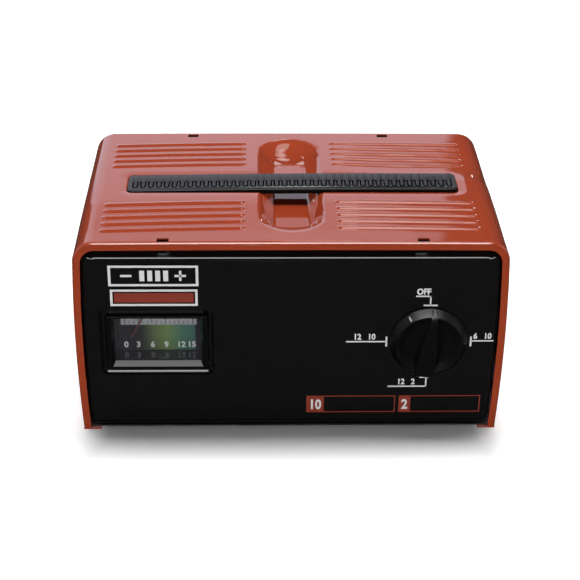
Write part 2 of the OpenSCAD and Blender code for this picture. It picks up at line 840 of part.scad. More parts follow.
// Inlay along the skirt's slope, grown by gap on its sides
module knob_mark(gap) {
    slope_run = (knob_d - knob_face_d) / 2;
    slope_len = norm([slope_run, knob_t]);
    translate([0, knob_d / 2, knob_stand]) rotate([atan(slope_run / knob_t), 0, 0])
        translate([-pointer_w / 2 - gap, -pointer_t - gap, 1.2 - gap])
            cube([pointer_w + 2 * gap, pointer_t + gap, slope_len - 2.4 + 2 * gap]);
}

module knob_pointer() {
    color("white") at_selector(0) rotate([0, 0, -knob_rest]) knob_mark(0);
}

module switch_rotor() {
    shaft_top = knob_stand + knob_t - 1.8;
    rotor_back = -sheet_t - switch_t + switch_wall + 1;
    color(phenolic) at_selector(0) rotate([0, 0, -knob_rest]) {
        translate([0, 0, rotor_back]) cylinder(h = shaft_top - rotor_back, d = shaft_d);
        translate([0, 0, rotor_back]) difference() {
            cylinder(h = 8, d = rotor_d);
            translate([0, 9, -cut]) cylinder(h = 8 + 2 * cut, d = 4);
        }
    }
}

// Moulded box behind the panel with a threaded bush through it
module switch_housing() {
    back = -sheet_t - seat_gap;
    color(phenolic) at_selector(0) difference() {
        union() {
            translate([0, 0, back - switch_t]) linear_extrude(switch_t)
                round_rect(switch_w, switch_w, 3);
            translate([0, 0, back - eps]) cylinder(h = sheet_t + seat_gap + nut_t + eps, d = bush_d);
        }
        translate([0, 0, back - switch_t + switch_wall])
            cylinder(h = switch_t - 2 * switch_wall, r = rotor_d / 2 + seat_gap);
        translate([0, 0, back - switch_wall - cut])
            cylinder(h = switch_wall + 3 * cut + nut_t + sheet_t, r = shaft_d / 2 + run_gap);
    }
}

module switch_contacts() {
    back = -sheet_t - seat_gap - switch_t;
    color("#c8a24a") at_selector(0) for (a = [45 : 90 : 315]) rotate([0, 0, a])
        translate([14, -3.1, back - blade_len]) cube([0.8, 6.2, blade_len]);
}

module switch_nut() {
    color(steel) at_selector(0) difference() {
        cylinder(h = nut_t, d = nut_flats / cos(30), $fn = 6);
        translate([0, 0, -cut]) cylinder(h = nut_t + 2 * cut, r = bush_d / 2 + run_gap);
    }
}

// ---- transformer ----

module core_face() {
    translate([-core_w / 2, 0]) difference() {
        square([core_w, core_h]);
        for (x = [limb_w, core_w - limb_w - (core_w - leg_w - 2 * limb_w) / 2])
            translate([x, limb_w])
                square([(core_w - leg_w - 2 * limb_w) / 2, core_h - 2 * limb_w]);
    }
}

module transformer_core() {
    color("#6d6f73") translate([0, 0, core_z]) upright(core_y - core_stack / 2, core_stack)
        core_face();
}

// Ring round the middle leg: inner and outer reach past the leg, between two heights
module leg_ring(inner, outer, outer_y, z0, z1) {
    hole_w = leg_w + 2 * inner;
    hole_d = core_stack + 2 * inner;
    translate([0, core_y, z0]) linear_extrude(z1 - z0) difference() {
        square([leg_w + 2 * outer, core_stack + 2 * outer_y], center = true);
        square([hole_w, hole_d], center = true);
    }
}

win_low = core_z + limb_w;
win_high = core_z + core_h - limb_w;
win_side = (core_w - leg_w - 2 * limb_w) / 2;

module bobbin() {
    inner = seat_gap;
    outer = win_side - seat_gap;
    color("#d9d4c2") {
        leg_ring(inner, inner + bobbin_t, inner + bobbin_t, win_low + seat_gap, win_high - seat_gap);
        for (z = [win_low + seat_gap, win_high - seat_gap - bobbin_t])
            leg_ring(inner, outer, coil_out, z, z + bobbin_t);
    }
}

module primary_winding() {
    z0 = win_low + seat_gap + bobbin_t + coil_gap;
    z1 = win_high - seat_gap - bobbin_t - coil_gap;
    inner = seat_gap + bobbin_t + run_gap;
    color(copper) leg_ring(inner, win_side / 2, coil_out / 2, z0, z1);
}

module secondary_winding() {
    z0 = win_low + seat_gap + bobbin_t + coil_gap;
    z1 = win_high - seat_gap - bobbin_t - coil_gap;
    color("#9c5a2c") difference() {
        leg_ring(win_side / 2 + run_gap, win_side - 1.2, coil_out - 1.2, z0, z1);
        leg_ring(0, win_side / 2 + run_gap, coil_out / 2 + run_gap, z0 - cut, z1 + cut);
    }
}

// Steel strap over the core with a foot at each end
module transformer_frame() {
    top = core_z + core_h + seat_gap;
    side = core_w / 2 + seat_gap;
    low = tray_top + seat_gap;
    color(steel) difference() {
        translate([0, core_y, 0]) for (s = [0, 1]) mirror([s, 0, 0]) {
            translate([-eps, -core_stack / 2, top]) cube([side + frame_t + eps, core_stack, frame_t]);
            translate([side, -core_stack / 2, low]) cube([frame_t, core_stack, top - low + frame_t]);
            translate([side, -core_stack / 2, low])
                cube([frame_t + frame_foot, core_stack, frame_t]);
        }
        frame_screw_places() translate([0, 0, low - cut])
            cylinder(h = frame_t + 2 * cut, r = frame_screw_d / 2 + screw_gap);
    }
}

// Screw standing on a face at z, with its shank reaching down to low
module down_screw(z, low, d, head_d, head_h) {
    translate([0, 0, low]) cylinder(h = z - low + eps, d = d);
    translate([0, 0, z]) cylinder(h = head_h, d = head_d);
}

module transformer_screws() {
    color(steel) frame_screw_places()
        down_screw(tray_top + seat_gap + frame_t, tray_z, frame_screw_d, 7.5, 2.6);
}

// ---- rectifier, breaker and terminals ----

module diode_places() {
    for (s = [-1, 1]) translate([sink_x, sink_y + s * diode_pitch / 2, diode_z]) children();
}

module heat_sink() {
    low = tray_top + seat_gap;
    color("#c9ccd0") difference() {
        union() {
            translate([sink_x, sink_y - sink_len / 2, low]) cube([sink_t, sink_len, sink_h]);
            translate([sink_x, sink_y - sink_len / 2, low])
                cube([sink_t + sink_foot, sink_len, sink_t]);
        }
        diode_places() rotate([0, 90, 0]) translate([0, 0, -cut])
            cylinder(h = sink_t + 2 * cut, r = diode_d / 2 + run_gap);
        sink_screw_places() translate([0, 0, low - cut])
            cylinder(h = sink_t + 2 * cut, r = screw_d / 2 + screw_gap);
    }
}

module rectifier_diodes() {
    color(steel) diode_places() rotate([0, 90, 0]) {
        translate([0, 0, -4]) cylinder(h = 4 + sink_t + 2, d = diode_d);
        translate([0, 0, -5.5]) cylinder(h = 2, d = diode_d + 2.4);
        translate([0, 0, -12]) cylinder(h = 7, d = 3);
    }
}

module heat_sink_screws() {
    color(steel) sink_screw_places()
        down_screw(tray_top + seat_gap + sink_t, tray_z, screw_d, screw_head_d, screw_head_h);
}

module circuit_breaker() {
    low = tray_top + seat_gap;
    color("#8d9094") translate([breaker_x, breaker_y, low]) {
        translate([-breaker_len / 2, -breaker_w / 2, 0]) cube([breaker_len, breaker_w, breaker_h]);
        for (s = [-1, 1]) translate([s * (breaker_len / 2 + 3), 0, 4]) rotate([0, 90, 0])
            translate([0, 0, -3 - eps]) cylinder(h = 6 + eps, d = 3);
    }
}

module way_places() {
    for (i = [0 : way_count - 1])
        translate([block_x + (i - (way_count - 1) / 2) * block_len / way_count, block_y, 0])
            children();
}

module terminal_block() {
    low = tray_top + seat_gap;
    color("#2a2a2c") difference() {
        translate([block_x - block_len / 2, block_y - block_w / 2, low])
            cube([block_len, block_w, block_h]);
        way_places() translate([-3.4, -block_w / 2 - cut, low + block_h - 4])
            cube([6.8, block_w + 2 * cut, 4 + cut]);
        way_places() translate([0, 0, low + 2]) cylinder(h = block_h, r = 1.5 + run_gap);
    }
}

module terminal_screws() {
    low = tray_top + seat_gap;
    color(steel) way_places()
        down_screw(low + block_h - 4 + eps, low + 4, 3, 5.4, 2);
}

// ---- inlets ----

// Snap bushing through the rear panel, with its outer end at local z = 0
module inlet_bushing(x, bore_d) {
    barrel_d = bore_d + 2 * bush_wall;
    inside = bush_out + sheet_t + run_gap;
    color(black_plastic) translate([x, case_d / 2 - panel_set + bush_out, inlet_z])
        rotate([90, 0, 0]) difference() {
            union() {
                cylinder(h = bush_out + bush_barrel, d = barrel_d);
                translate([0, 0, bush_out - bush_flange_t])
                    cylinder(h = bush_flange_t, d = barrel_d + 2 * bush_lip);
                translate([0, 0, inside]) cylinder(h = 1.6, d1 = barrel_d + 2, d2 = barrel_d);
            }
            translate([0, 0, -cut]) cylinder(h = bush_out + bush_barrel + 2 * cut, d = bore_d);
        }
}

module mains_bushing() { inlet_bushing(mains_x, mains_bore_d); }
module output_bushing() { inlet_bushing(-output_x, output_bore_d); }

// ---- fasteners ----

module case_screws() {
    color(steel) side_screw_places() {
        translate([0, 0, -screw_len]) cylinder(h = screw_len + eps, d = screw_d);
        cylinder(h = seat_gap + eps, d = screw_d);
        translate([0, 0, seat_gap]) cylinder(h = screw_head_h, d = screw_head_d);
    }
}

module panel_rivets() {
    top = panel_low + sheet_t;
    color(steel) for (s = [-1, 1]) rivet_places(s) {
        translate([0, 0, tray_z - rivet_head_h]) cylinder(h = rivet_head_h, d = rivet_head_d);
        translate([0, 0, tray_z - eps]) cylinder(h = top - tray_z + eps, d = rivet_d);
        translate([0, 0, top]) cylinder(h = 1.4, d = rivet_d + 1);
    }
}

// ---- wires ----

// Terminal block to switch, and terminal block to primary winding
module mains_wires() {
    blade_y = panel_back_y + seat_gap + switch_t + blade_len;
    way_z = tray_top + seat_gap + block_h - 4 + mains_wire_d / 2 + eps;
    front_y = block_y - block_w / 2 + 3;
    color("#202022") for (k = [0, 1]) {
        way_x = block_x + (k - 1.5) * block_len / way_count;
        blade_x = selector_x + (k == 0 ? -10.2 : 10.2);
        low_z = selector_z - 10.2;
        wire([[way_x, front_y, way_z], [way_x, -28 - 6 * k, way_z],
            [blade_x, -34, low_z], [blade_x, blade_y + run_gap, low_z]], mains_wire_d);
    }
    color("#e8e8e4") for (k = [0, 1]) {
        way_x = block_x + (k + 0.5) * block_len / way_count;
        back_y = block_y + block_w / 2 - 3;
        coil_x = leg_w / 2 + 4 + 4 * k;
        coil_y = core_y + core_stack / 2 + coil_out;
        coil_z = core_z + 30 + 6 * k;
        wire([[way_x, back_y, way_z], [way_x, coil_y + 2 + 4 * k, way_z + 8],
            [coil_x, coil_y + 8, coil_z], [coil_x, coil_y - 1.2 + run_gap, coil_z]],
            mains_wire_d);
    }
}

// Secondary to diodes, heat sink to meter, meter to breaker
module low_voltage_wires() {
    stud_y = panel_face_y + housing_back + 9;
    lead_x = sink_x - 12 - heavy_wire_d / 2;
    coil_z = core_z + 46;
    color("#a02822") {
        for (s = [-1, 1]) {
            y = sink_y + s * diode_pitch / 2;
            coil_y = core_y + s * (core_stack / 2 + coil_out - 1.2);
            wire([[sink_x - 12, y, diode_z], [lead_x - 6, y, diode_z],
                [lead_x - 6, y, coil_z + 10], [-leg_w / 2, coil_y + s * 8, coil_z],
                [-leg_w / 2, coil_y + s * run_gap, coil_z]], heavy_wire_d);
        }
    }
    color("#202022") {
        right_stud = meter_x + 14;
        pin_x = breaker_x - breaker_len / 2 - 6 - run_gap;
        pin_z = tray_top + seat_gap + 4;
        wire([[right_stud, stud_y, pivot_z], [right_stud, stud_y + 12, pivot_z],
            [-20, -30, 40], [pin_x - 8, breaker_y, pin_z], [pin_x, breaker_y, pin_z]],
            heavy_wire_d);
        left_stud = meter_x - 14;
        sink_low = sink_y - sink_len / 2;
        wire([[left_stud, stud_y, pivot_z], [left_stud, stud_y + 12, pivot_z],
            [sink_x + sink_t / 2, sink_low - 14, 36], [sink_x + sink_t / 2, sink_low - run_gap, 36]],
            heavy_wire_d);
    }
}

cover();
front_panel();
rear_panel();
base_tray();
handle_strap();
handle_retainers();
meter_bezel();
meter_lens();
meter_scale();
meter_housing();
meter_frame();
meter_magnet();
meter_studs();
meter_needle();
meter_clips();
selector_knob();
knob_pointer();
switch_rotor();
switch_housing();
switch_contacts();
switch_nut();
transformer_core();
bobbin();
primary_winding();
secondary_winding();
transformer_frame();
transformer_screws();
heat_sink();
rectifier_diodes();
heat_sink_screws();
circuit_breaker();
terminal_block();
terminal_screws();
mains_bushing();
output_bushing();
case_screws();
panel_rivets();
mains_wires();
low_voltage_wires();
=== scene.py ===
import math

import bmesh
import bpy
from mathutils import Matrix, Vector


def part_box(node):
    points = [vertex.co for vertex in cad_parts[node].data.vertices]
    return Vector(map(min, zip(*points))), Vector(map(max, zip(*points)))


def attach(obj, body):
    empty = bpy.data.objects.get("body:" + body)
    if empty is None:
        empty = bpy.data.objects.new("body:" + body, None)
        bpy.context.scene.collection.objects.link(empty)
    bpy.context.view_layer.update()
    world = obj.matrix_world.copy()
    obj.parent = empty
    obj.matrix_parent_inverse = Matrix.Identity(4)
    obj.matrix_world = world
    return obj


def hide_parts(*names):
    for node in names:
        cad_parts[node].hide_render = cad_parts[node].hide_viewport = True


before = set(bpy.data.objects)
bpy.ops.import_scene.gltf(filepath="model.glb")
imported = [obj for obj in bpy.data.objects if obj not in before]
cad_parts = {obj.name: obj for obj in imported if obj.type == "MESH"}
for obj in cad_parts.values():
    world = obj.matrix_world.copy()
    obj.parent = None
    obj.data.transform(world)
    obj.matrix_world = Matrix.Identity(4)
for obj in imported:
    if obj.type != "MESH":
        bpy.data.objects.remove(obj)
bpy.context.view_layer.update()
MM = 0.001

# ---------------------------------------------------------------- sizes, in millimetres
CASE_W, CASE_D, CASE_H = 230.0, 148.0, 117.0
SIDE_BOW = 1.7                  # how far each side wall bows out at half its height
CORNER_R = 12.0
SHEET = 1.0
RIM_W, RIM_BEND = 4.3, 2.2      # the cover's turned-in rim and its bend
CROWN, CROWN_X = 0.3, 103.0     # rise of the top's middle, and where it ends
FACE_IN = 0.1                   # the panels' faces lie this far inside the cover's edges

BOW_Z = CASE_H / 2
BOW_R = (BOW_Z ** 2 + SIDE_BOW ** 2) / (2 * SIDE_BOW)
BOW_X = CASE_W / 2 + SIDE_BOW - BOW_R
CORNER_Z = CASE_H - CORNER_R
CORNER_A = math.asin((CORNER_Z - BOW_Z) / (BOW_R - CORNER_R))
CORNER_X = BOW_X + (BOW_R - CORNER_R) * math.cos(CORNER_A)

FACE_Y = -CASE_D / 2 + FACE_IN
KNOB_X, KNOB_Z = 74.6, 56.2
METER_X = -72.3
STAND = Matrix.Rotation(math.pi / 2, 4, "X")    # turns what is drawn flat to face the front
WELD = 2e-6                     # points nearer than this many metres become one


# ---------------------------------------------------------------- mesh helpers
def link_new(name, data):
    """New object in the scene."""
    ob = bpy.data.objects.new(name, data)
    bpy.context.scene.collection.objects.link(ob)
    return ob


def smooth_all(me):
    me.polygons.foreach_set("use_smooth", [True] * len(me.polygons))


def shade(ob, angle):
    """Smooth faces, with edges past an angle left sharp."""
    smooth_all(ob.data)
    ob.data.set_sharp_from_angle(angle=math.radians(angle))


def obj_from(name, verts, faces):
    """Smooth object from points in millimetres."""
    me = bpy.data.meshes.new(name)
    me.from_pydata([tuple(c * MM for c in v) for v in verts], [], faces)
    me.validate()
    smooth_all(me)
    return link_new(name, me)


def obj_from_bm(name, bm):
    """Smooth object from a bmesh in millimetres, its faces turned outward."""
    bmesh.ops.recalc_face_normals(bm, faces=bm.faces)
    me = bpy.data.meshes.new(name)
    bm.to_mesh(me)
    bm.free()
    me.transform(Matrix.Scale(MM, 4))
    smooth_all(me)
    return link_new(name, me)


def evaluated_mesh(ob):
    deps = bpy.context.evaluated_depsgraph_get()
    deps.update()
    return bpy.data.meshes.new_from_object(ob.evaluated_get(deps))


def curve_mesh(name, cu):
    """Mesh of a curve or a text."""
    ob = link_new(name, cu)
    me = evaluated_mesh(ob)
    bpy.data.objects.remove(ob)
    return me


def edit_mesh(ob, change):
    """Runs one bmesh edit on an object."""
    bm = bmesh.new()
    bm.from_mesh(ob.data)
    change(bm)
    bm.to_mesh(ob.data)
    bm.free()
    return ob


def weld(ob):
    return edit_mesh(ob, lambda bm: bmesh.ops.remove_doubles(bm, verts=bm.verts, dist=WELD))


def face_out(ob, score):
    """Flips all faces if the sum of their scores says that they point inward."""
    def flip(bm):
        bm.normal_update()
        if sum(score(f) for f in bm.faces) < 0:
            bmesh.ops.reverse_faces(bm, faces=bm.faces)
    return edit_mesh(ob, flip)


def thicken(ob):
    """Gives a surface the sheet's thickness, inward from its outer side."""
    m = ob.modifiers.new("solidify", "SOLIDIFY")
    m.thickness = SHEET * MM
    m.offset = -1.0
    me = evaluated_mesh(ob)
    ob.modifiers.clear()
    ob.data = me
    return ob


def weighted(ob):
    m = ob.modifiers.new("weighted_normal", "WEIGHTED_NORMAL")
    m.weight = 100
    m.keep_sharp = True


def join(name, obs):
    """One object from several."""
    bm = bmesh.new()
    for o in obs:
        me = o.data.copy()
        me.transform(o.matrix_world)
        bm.from_mesh(me)
        bpy.data.meshes.remove(me)
    me = bpy.data.meshes.new(name)
    bm.to_mesh(me)
    bm.free()
    for o in obs:
        bpy.data.objects.remove(o)
    return link_new(name, me)


def place(ob, m):
    ob.data.transform(m)
    return ob


def keep(ob, body, *nodes, mat, slot=None):
    """Gives a finished piece its material, hides the CAD nodes it replaces and puts it in its body; its slot
    is not used.
    """
    ob.data.materials.clear()
    ob.data.materials.append(mat)
    if nodes:
        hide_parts(*nodes)
    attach(ob, body)
    return ob


# ---------------------------------------------------------------- outlines and simple solids
def arc(cx, cy, r, a0, a1, steps):
    return [(cx + r * math.cos(math.radians(a0 + (a1 - a0) * i / steps)),
             cy + r * math.sin(math.radians(a0 + (a1 - a0) * i / steps))) for i in range(steps + 1)]


def circle(cx, cy, r, steps):
    return [(cx + r * math.cos(2 * math.pi * i / steps), cy + r * math.sin(2 * math.pi * i / steps))
            for i in range(steps)]


def rect(x0, z0, x1, z1):
    return [(x0, z0), (x1, z0), (x1, z1), (x0, z1)]


def round_rect(w, h, r, steps=8):
    pts = []
    for (cx, cy, a) in ((w / 2 - r, h / 2 - r, 0), (-w / 2 + r, h / 2 - r, 90),
                        (-w / 2 + r, -h / 2 + r, 180), (w / 2 - r, -h / 2 + r, 270)):
        pts += arc(cx, cy, r, a, a + 90, steps)
    return pts


def spaced(lo, hi, step):
    """Even places from lo to hi, about a step apart."""
    n = max(1, round((hi - lo) / step))
    return [lo + (hi - lo) * i / n for i in range(n + 1)]


def merge_steps(*lists):
    """All places of several lists in order, each once."""
    out = []
    for v in sorted(x for lst in lists for x in lst):
        if not out or v - out[-1] > 1e-4:
            out.append(v)
    return out


def grid_faces(rows, cols, wrap=False):
    """Faces between points listed row by row; wrap joins the last row to the first."""
    faces = []
    for k in range(rows if wrap else rows - 1):
        for j in range(cols - 1):
            a, b = k * cols + j, (k + 1) % rows * cols + j
            faces.append((a, a + 1, b + 1, b))
    return faces


def loft(name, rows):
    """Solid through closed cross rows of bmesh points, with a cap at both ends."""
    bm = bmesh.new()
    rings = [[bm.verts.new(p) for p in row] for row in rows]
    for a, b in zip(rings, rings[1:]):
        for k in range(len(a)):
            m = (k + 1) % len(a)
            bm.faces.new((a[k], a[m], b[m], b[k]))
    bm.faces.new(rings[0])
    bm.faces.new(list(reversed(rings[-1])))
    return obj_from_bm(name, bm)


def lathe(name, profile, steps=96):
    """Turned solid about +Z from (r, z) points; r = 0 ends close it."""
    bm = bmesh.new()
    rings = []
    for (r, z) in profile:
        if r < 1e-6:
            rings.append([bm.verts.new((0, 0, z))])
        else:
            rings.append([bm.verts.new((x, y, z)) for x, y in circle(0, 0, r, steps)])
    for a, b in zip(rings, rings[1:]):
        for i in range(steps):
            j = (i + 1) % steps
            if len(b) == 1:
                bm.faces.new((a[i], b[0], a[j]))
            elif len(a) == 1:
                bm.faces.new((a[0], b[i], b[j]))
            else:
                bm.faces.new((a[i], b[i], b[j], a[j]))
    return obj_from_bm(name, bm)


def plate(name, loops, lo, hi, bevel=0.0, plane="XZ"):
    """Flat plate from closed outlines (the first is outside, the rest are holes), from lo to hi."""
    cu = bpy.data.curves.new(name, "CURVE")
    cu.dimensions = "2D"
    cu.fill_mode = "BOTH"
    cu.resolution_u = 1
    for pts in loops:
        sp = cu.splines.new("POLY")
        sp.points.add(len(pts) - 1)
        for p, (x, z) in zip(sp.points, pts):
            p.co = (x * MM, z * MM, 0, 1)
        sp.use_cyclic_u = True
    cu.extrude = (abs(hi - lo) / 2 - bevel) * MM
    cu.bevel_depth = bevel * MM
    cu.offset = -bevel * MM
    cu.bevel_resolution = 2
    me = curve_mesh(name, cu)
    middle = (lo + hi) / 2 * MM
    if plane == "XZ":
        me.transform(Matrix.Translation((0, middle, 0)) @ STAND)
    else:
        me.transform(Matrix.Translation((0, 0, middle)))

    def clean(bm):
        bmesh.ops.remove_doubles(bm, verts=bm.verts, dist=WELD / 2)
        bmesh.ops.recalc_face_normals(bm, faces=bm.faces)
    return edit_mesh(link_new(name, me), clean)


def bar(x0, z0, x1, z1, y0, y1):
    return plate("bar", [rect(x0, z0, x1, z1)], y0, y1)


def text_plate(body, x, z, size, y0, y1, bold, squeeze):
    """Raised lettering on a face of the case: centred on x, its foot at z."""
    cu = bpy.data.curves.new("text", "FONT")
    cu.body = body
    cu.size = size * MM
    cu.align_x = "CENTER"
    cu.extrude = abs(y1 - y0) / 2 * MM
    cu.offset = bold * MM
    cu.resolution_u = 3
    me = curve_mesh("text", cu)
    spot = Matrix.Translation((x * MM, (y0 + y1) / 2 * MM, z * MM))
    me.transform(spot @ STAND @ Matrix.Diagonal((squeeze, 1, 1, 1)))
    return link_new("text", me)


# ---------------------------------------------------------------- curves of one value
def fall(v, a, b):
    """Smooth rise from 0 at a to 1 at b."""
    t = max(0.0, min(1.0, (v - a) / (b - a)))
    return t * t * (3 - 2 * t)


def ramp(t, e0, e1):
    """0 below 0 and 1 above 1, with rounded folds of half widths e0 and e1."""
    if t <= -e0:
        return 0.0
    if t < e0:
        return (t + e0) ** 2 / (4 * e0)
    if t <= 1 - e1:
        return t
    if t < 1 + e1:
        return 1 - (1 + e1 - t) ** 2 / (4 * e1)
    return 1.0


def sd_round_rect(x, y, hx, hy, r):
    """Distance from a rounded rectangle's edge, negative inside."""
    qx, qy = abs(x) - hx + r, abs(y) - hy + r
    return math.hypot(max(qx, 0), max(qy, 0)) + min(max(qx, qy), 0) - r


# ---------------------------------------------------------------- node helpers
def feed(nt, socket, v):
    """Sets a socket to a value, or links another node's output to it."""
    if isinstance(v, bpy.types.NodeSocket):
        nt.links.new(v, socket)
    else:
        socket.default_value = v


def math_node(nt, op, a, b):
    n = nt.nodes.new("ShaderNodeMath")
    n.operation = op
    feed(nt, n.inputs[0], a)
    feed(nt, n.inputs[1], b)
    return n.outputs[0]


def map_range(nt, value, a, b, lo=0.0, hi=1.0, kind="SMOOTHSTEP"):
    """Value from lo at a to hi at b."""
    n = nt.nodes.new("ShaderNodeMapRange")
    n.interpolation_type = kind
    n.clamp = True
    for name, v in (("From Min", a), ("From Max", b), ("To Min", lo), ("To Max", hi), ("Value", value)):
        feed(nt, n.inputs[name], v)
    return n.outputs["Result"]


def noise_node(nt, coords, scale, detail=2):
    n = nt.nodes.new("ShaderNodeTexNoise")
    n.inputs["Scale"].default_value = scale
    n.inputs["Detail"].default_value = detail
    nt.links.new(coords, n.inputs["Vector"])
    return n.outputs["Fac"]


def color_ramp(nt, value, stops):
    """Colour from a value, by stops of a position and a colour."""
    n = nt.nodes.new("ShaderNodeValToRGB")
    el = n.color_ramp.elements
    for e, (position, color) in zip(list(el), (stops[0], stops[-1])):
        e.position = position
        e.color = (*color, 1)
    for position, color in stops[1:-1]:
        el.new(position).color = (*color, 1)
    nt.links.new(value, n.inputs["Fac"])
    return n.outputs["Color"]


def diffuse(nt, grey):
    n = nt.nodes.new("ShaderNodeBsdfDiffuse")
    n.inputs["Color"].default_value = (grey, grey, grey, 1)
    return n.outputs[0]


def background(nt, color, strength):
    n = nt.nodes.new("ShaderNodeBackground")
    n.inputs["Color"].default_value = (*color, 1)
    feed(nt, n.inputs["Strength"], strength)
    return n.outputs[0]


def mix_shader(nt, factor, a, b):
    """Shader a where the factor is 0, and b where it is 1."""
    n = nt.nodes.new("ShaderNodeMixShader")
    for socket, v in zip(n.inputs, (factor, a, b)):
        nt.links.new(v, socket)
    return n.outputs[0]


# ---------------------------------------------------------------- materials
def principled(name):
    m = bpy.data.materials.new(name)
    m.use_nodes = True
    return m, m.node_tree, m.node_tree.nodes["Principled BSDF"]


def new_mat(name, base, rough, metal=0.0, ior=1.5, noise=0.06, noise_scale=120.0, bump=0.03,
            bump_scale=900.0, rough_var=0.05, spec=None, coat=0.0):
    """Principled material with a little variation of colour, roughness and surface."""
    m, nt, b = principled(name)
    b.inputs["Metallic"].default_value = metal
    b.inputs["IOR"].default_value = ior
    if spec is not None:
        b.inputs["Specular IOR Level"].default_value = spec
    if coat:
        b.inputs["Coat Weight"].default_value = coat
        b.inputs["Coat Roughness"].default_value = 0.02
    coords = nt.nodes.new("ShaderNodeTexCoord").outputs["Object"]
    grain = noise_node(nt, coords, noise_scale, 4)
    dark = [c * (1 - noise) for c in base]
    light = [min(1.0, c * (1 + noise)) for c in base]
    nt.links.new(color_ramp(nt, grain, [(0.3, dark), (0.7, light)]), b.inputs["Base Color"])
    low, high = max(0.0, rough - rough_var), min(1.0, rough + rough_var)
    nt.links.new(map_range(nt, grain, 0.0, 1.0, low, high, "LINEAR"), b.inputs["Roughness"])
    if bump:
        bp = nt.nodes.new("ShaderNodeBump")
        bp.inputs["Strength"].default_value = bump
        bp.inputs["Distance"].default_value = 0.0004
        nt.links.new(noise_node(nt, coords, bump_scale), bp.inputs["Height"])
        nt.links.new(bp.outputs["Normal"], b.inputs["Normal"])
    return m


RED = new_mat("red enamel", (0.4, 0.058, 0.02), 0.05, ior=1.6, coat=0.5, noise=0.03, noise_scale=18,
              bump=0.01, bump_scale=260, rough_var=0.015)
BLACK = new_mat("black satin enamel", (0.0065, 0.0065, 0.0068), 0.12, ior=1.45, noise=0.12, bump=0.02,
                bump_scale=1600, spec=0.45)
KNOB = new_mat("moulded black", (0.003, 0.003, 0.0032), 0.4, ior=1.46, noise=0.1, bump=0.02, spec=0.5)
BEZEL = new_mat("moulded gloss black", (0.0035, 0.0035, 0.0038), 0.13, ior=1.46, noise=0.1, bump=0.01,
                spec=0.5)
# painted shade: a darker, matt copy of the strap's grey, put on its steep sides and on the floor of its
# groove
STRAP_PAINTED_SHADE = new_mat("matt strap painted shade", (0.0022, 0.0022, 0.0026), 0.7, spec=0.12, noise=0.08)
STRAP = new_mat("moulded dark grey", (0.007, 0.0072, 0.0082), 0.38, ior=1.6, noise=0.1, bump=0.12,
                bump_scale=1400)
ZINC = new_mat("zinc plate", (0.55, 0.56, 0.58), 0.33, metal=1.0, noise=0.1, noise_scale=60)
STEEL = new_mat("steel", (0.5, 0.51, 0.53), 0.3, metal=1.0, noise=0.08)
BRASS = new_mat("brass", (0.72, 0.52, 0.24), 0.3, metal=1.0, noise=0.08)
COPPER = new_mat("enamelled copper", (0.55, 0.2, 0.08), 0.25, metal=1.0, noise=0.2, noise_scale=900,
                 bump=0.2)
ALU = new_mat("aluminium", (0.66, 0.67, 0.69), 0.35, metal=1.0, noise=0.05)
CORE = new_mat("laminations", (0.16, 0.165, 0.175), 0.5, metal=0.6, noise=0.2, noise_scale=700, bump=0.3)
NYLON = new_mat("nylon", (0.7, 0.66, 0.54), 0.5)
PHENOLIC = new_mat("phenolic", (0.08, 0.045, 0.028), 0.4)
NEEDLE = new_mat("needle red", (0.13, 0.03, 0.03), 0.5)
WIRE = new_mat("wire sleeve", (0.03, 0.03, 0.032), 0.4)
GLOSSY = new_mat("housing black", (0.024, 0.024, 0.028), 0.08, noise=0.08, bump=0.0)
WHITE_INK = new_mat("white print", (0.83, 0.83, 0.82), 0.45, noise=0.03, bump=0.02)
RED_INK = new_mat("red print", (0.3, 0.036, 0.016), 0.45, noise=0.04, bump=0.02)
GREY_INK = new_mat("grey print", (0.34, 0.35, 0.37), 0.5, noise=0.04, bump=0.02)
MARK = new_mat("pale inlay", (0.2, 0.2, 0.2), 0.5, noise=0.04, bump=0.02)


# ---------------------------------------------------------------- case outline
def wall_station(a):
    return (BOW_X + BOW_R * math.cos(a), BOW_Z + BOW_R * math.sin(a), math.cos(a), math.sin(a))


def outline(low, side=24, corner=16, tops=()):
    """Stations (x, z, nx, nz) along the case outline, right foot over the top to the left foot."""
    a0 = math.asin((low - BOW_Z) / BOW_R)
    half = [wall_station(a0 + (CORNER_A - a0) * i / side) for i in range(side + 1)]
    for i in range(1, corner + 1):
        a = CORNER_A + (math.pi / 2 - CORNER_A) * i / corner
        half.append((CORNER_X + CORNER_R * math.cos(a), CORNER_Z + CORNER_R * math.sin(a),
                     math.cos(a), math.sin(a)))
    top = [(x, CASE_H, 0.0, 1.0) for x in sorted(tops, reverse=True) if abs(x) < CORNER_X - 0.05]
    return half + top + [(-x, z, -nx, nz) for (x, z, nx, nz) in reversed(half)]


# ---------------------------------------------------------------- cover
# the sag and the dip of the top fade in over this range of heights
FADE_LOW, FADE_HIGH = 60.0, 108.0
SAG = dict(depth=1.0, start=-26.0, over=33.0, fold=0.1)
DIP = dict(depth=0.8, x0=28.0, x1=62.0, rear=60.0, over=35.0, turn=18.5, end=2.0, fold=0.08)
# a: half width of the rim; b: reach of its round ends past the straight sides; fx, fy, fr: half
# sizes and corner radius of the floor; steeper: how much the long walls are steeper than the ends
WELL = dict(x=0.8, y=1.1, a=19.6, b=24.8, straight=36.2, fx=9.4, fy=41.2, fr=1.5, depth=8.4,
            slope=12.0, reach=4.0, steeper=0.2, end0=50.0, end1=40.0, rim_fold=0.12, floor_fold=0.03)
# hx, hy, r: half sizes and corner radius; wall: run of its wall; dish, ring: depth and width of the
# shallow dish round it
POCKET = dict(x=1.8, y=-1.0, hx=92.9, hy=11.45, r=3.6, depth=1.7, wall=0.9, out=0.2, fold=0.35,
              dish=0.28, ring=4.5, ring_fold=0.25, dish_fold=0.1, reach=20.0)
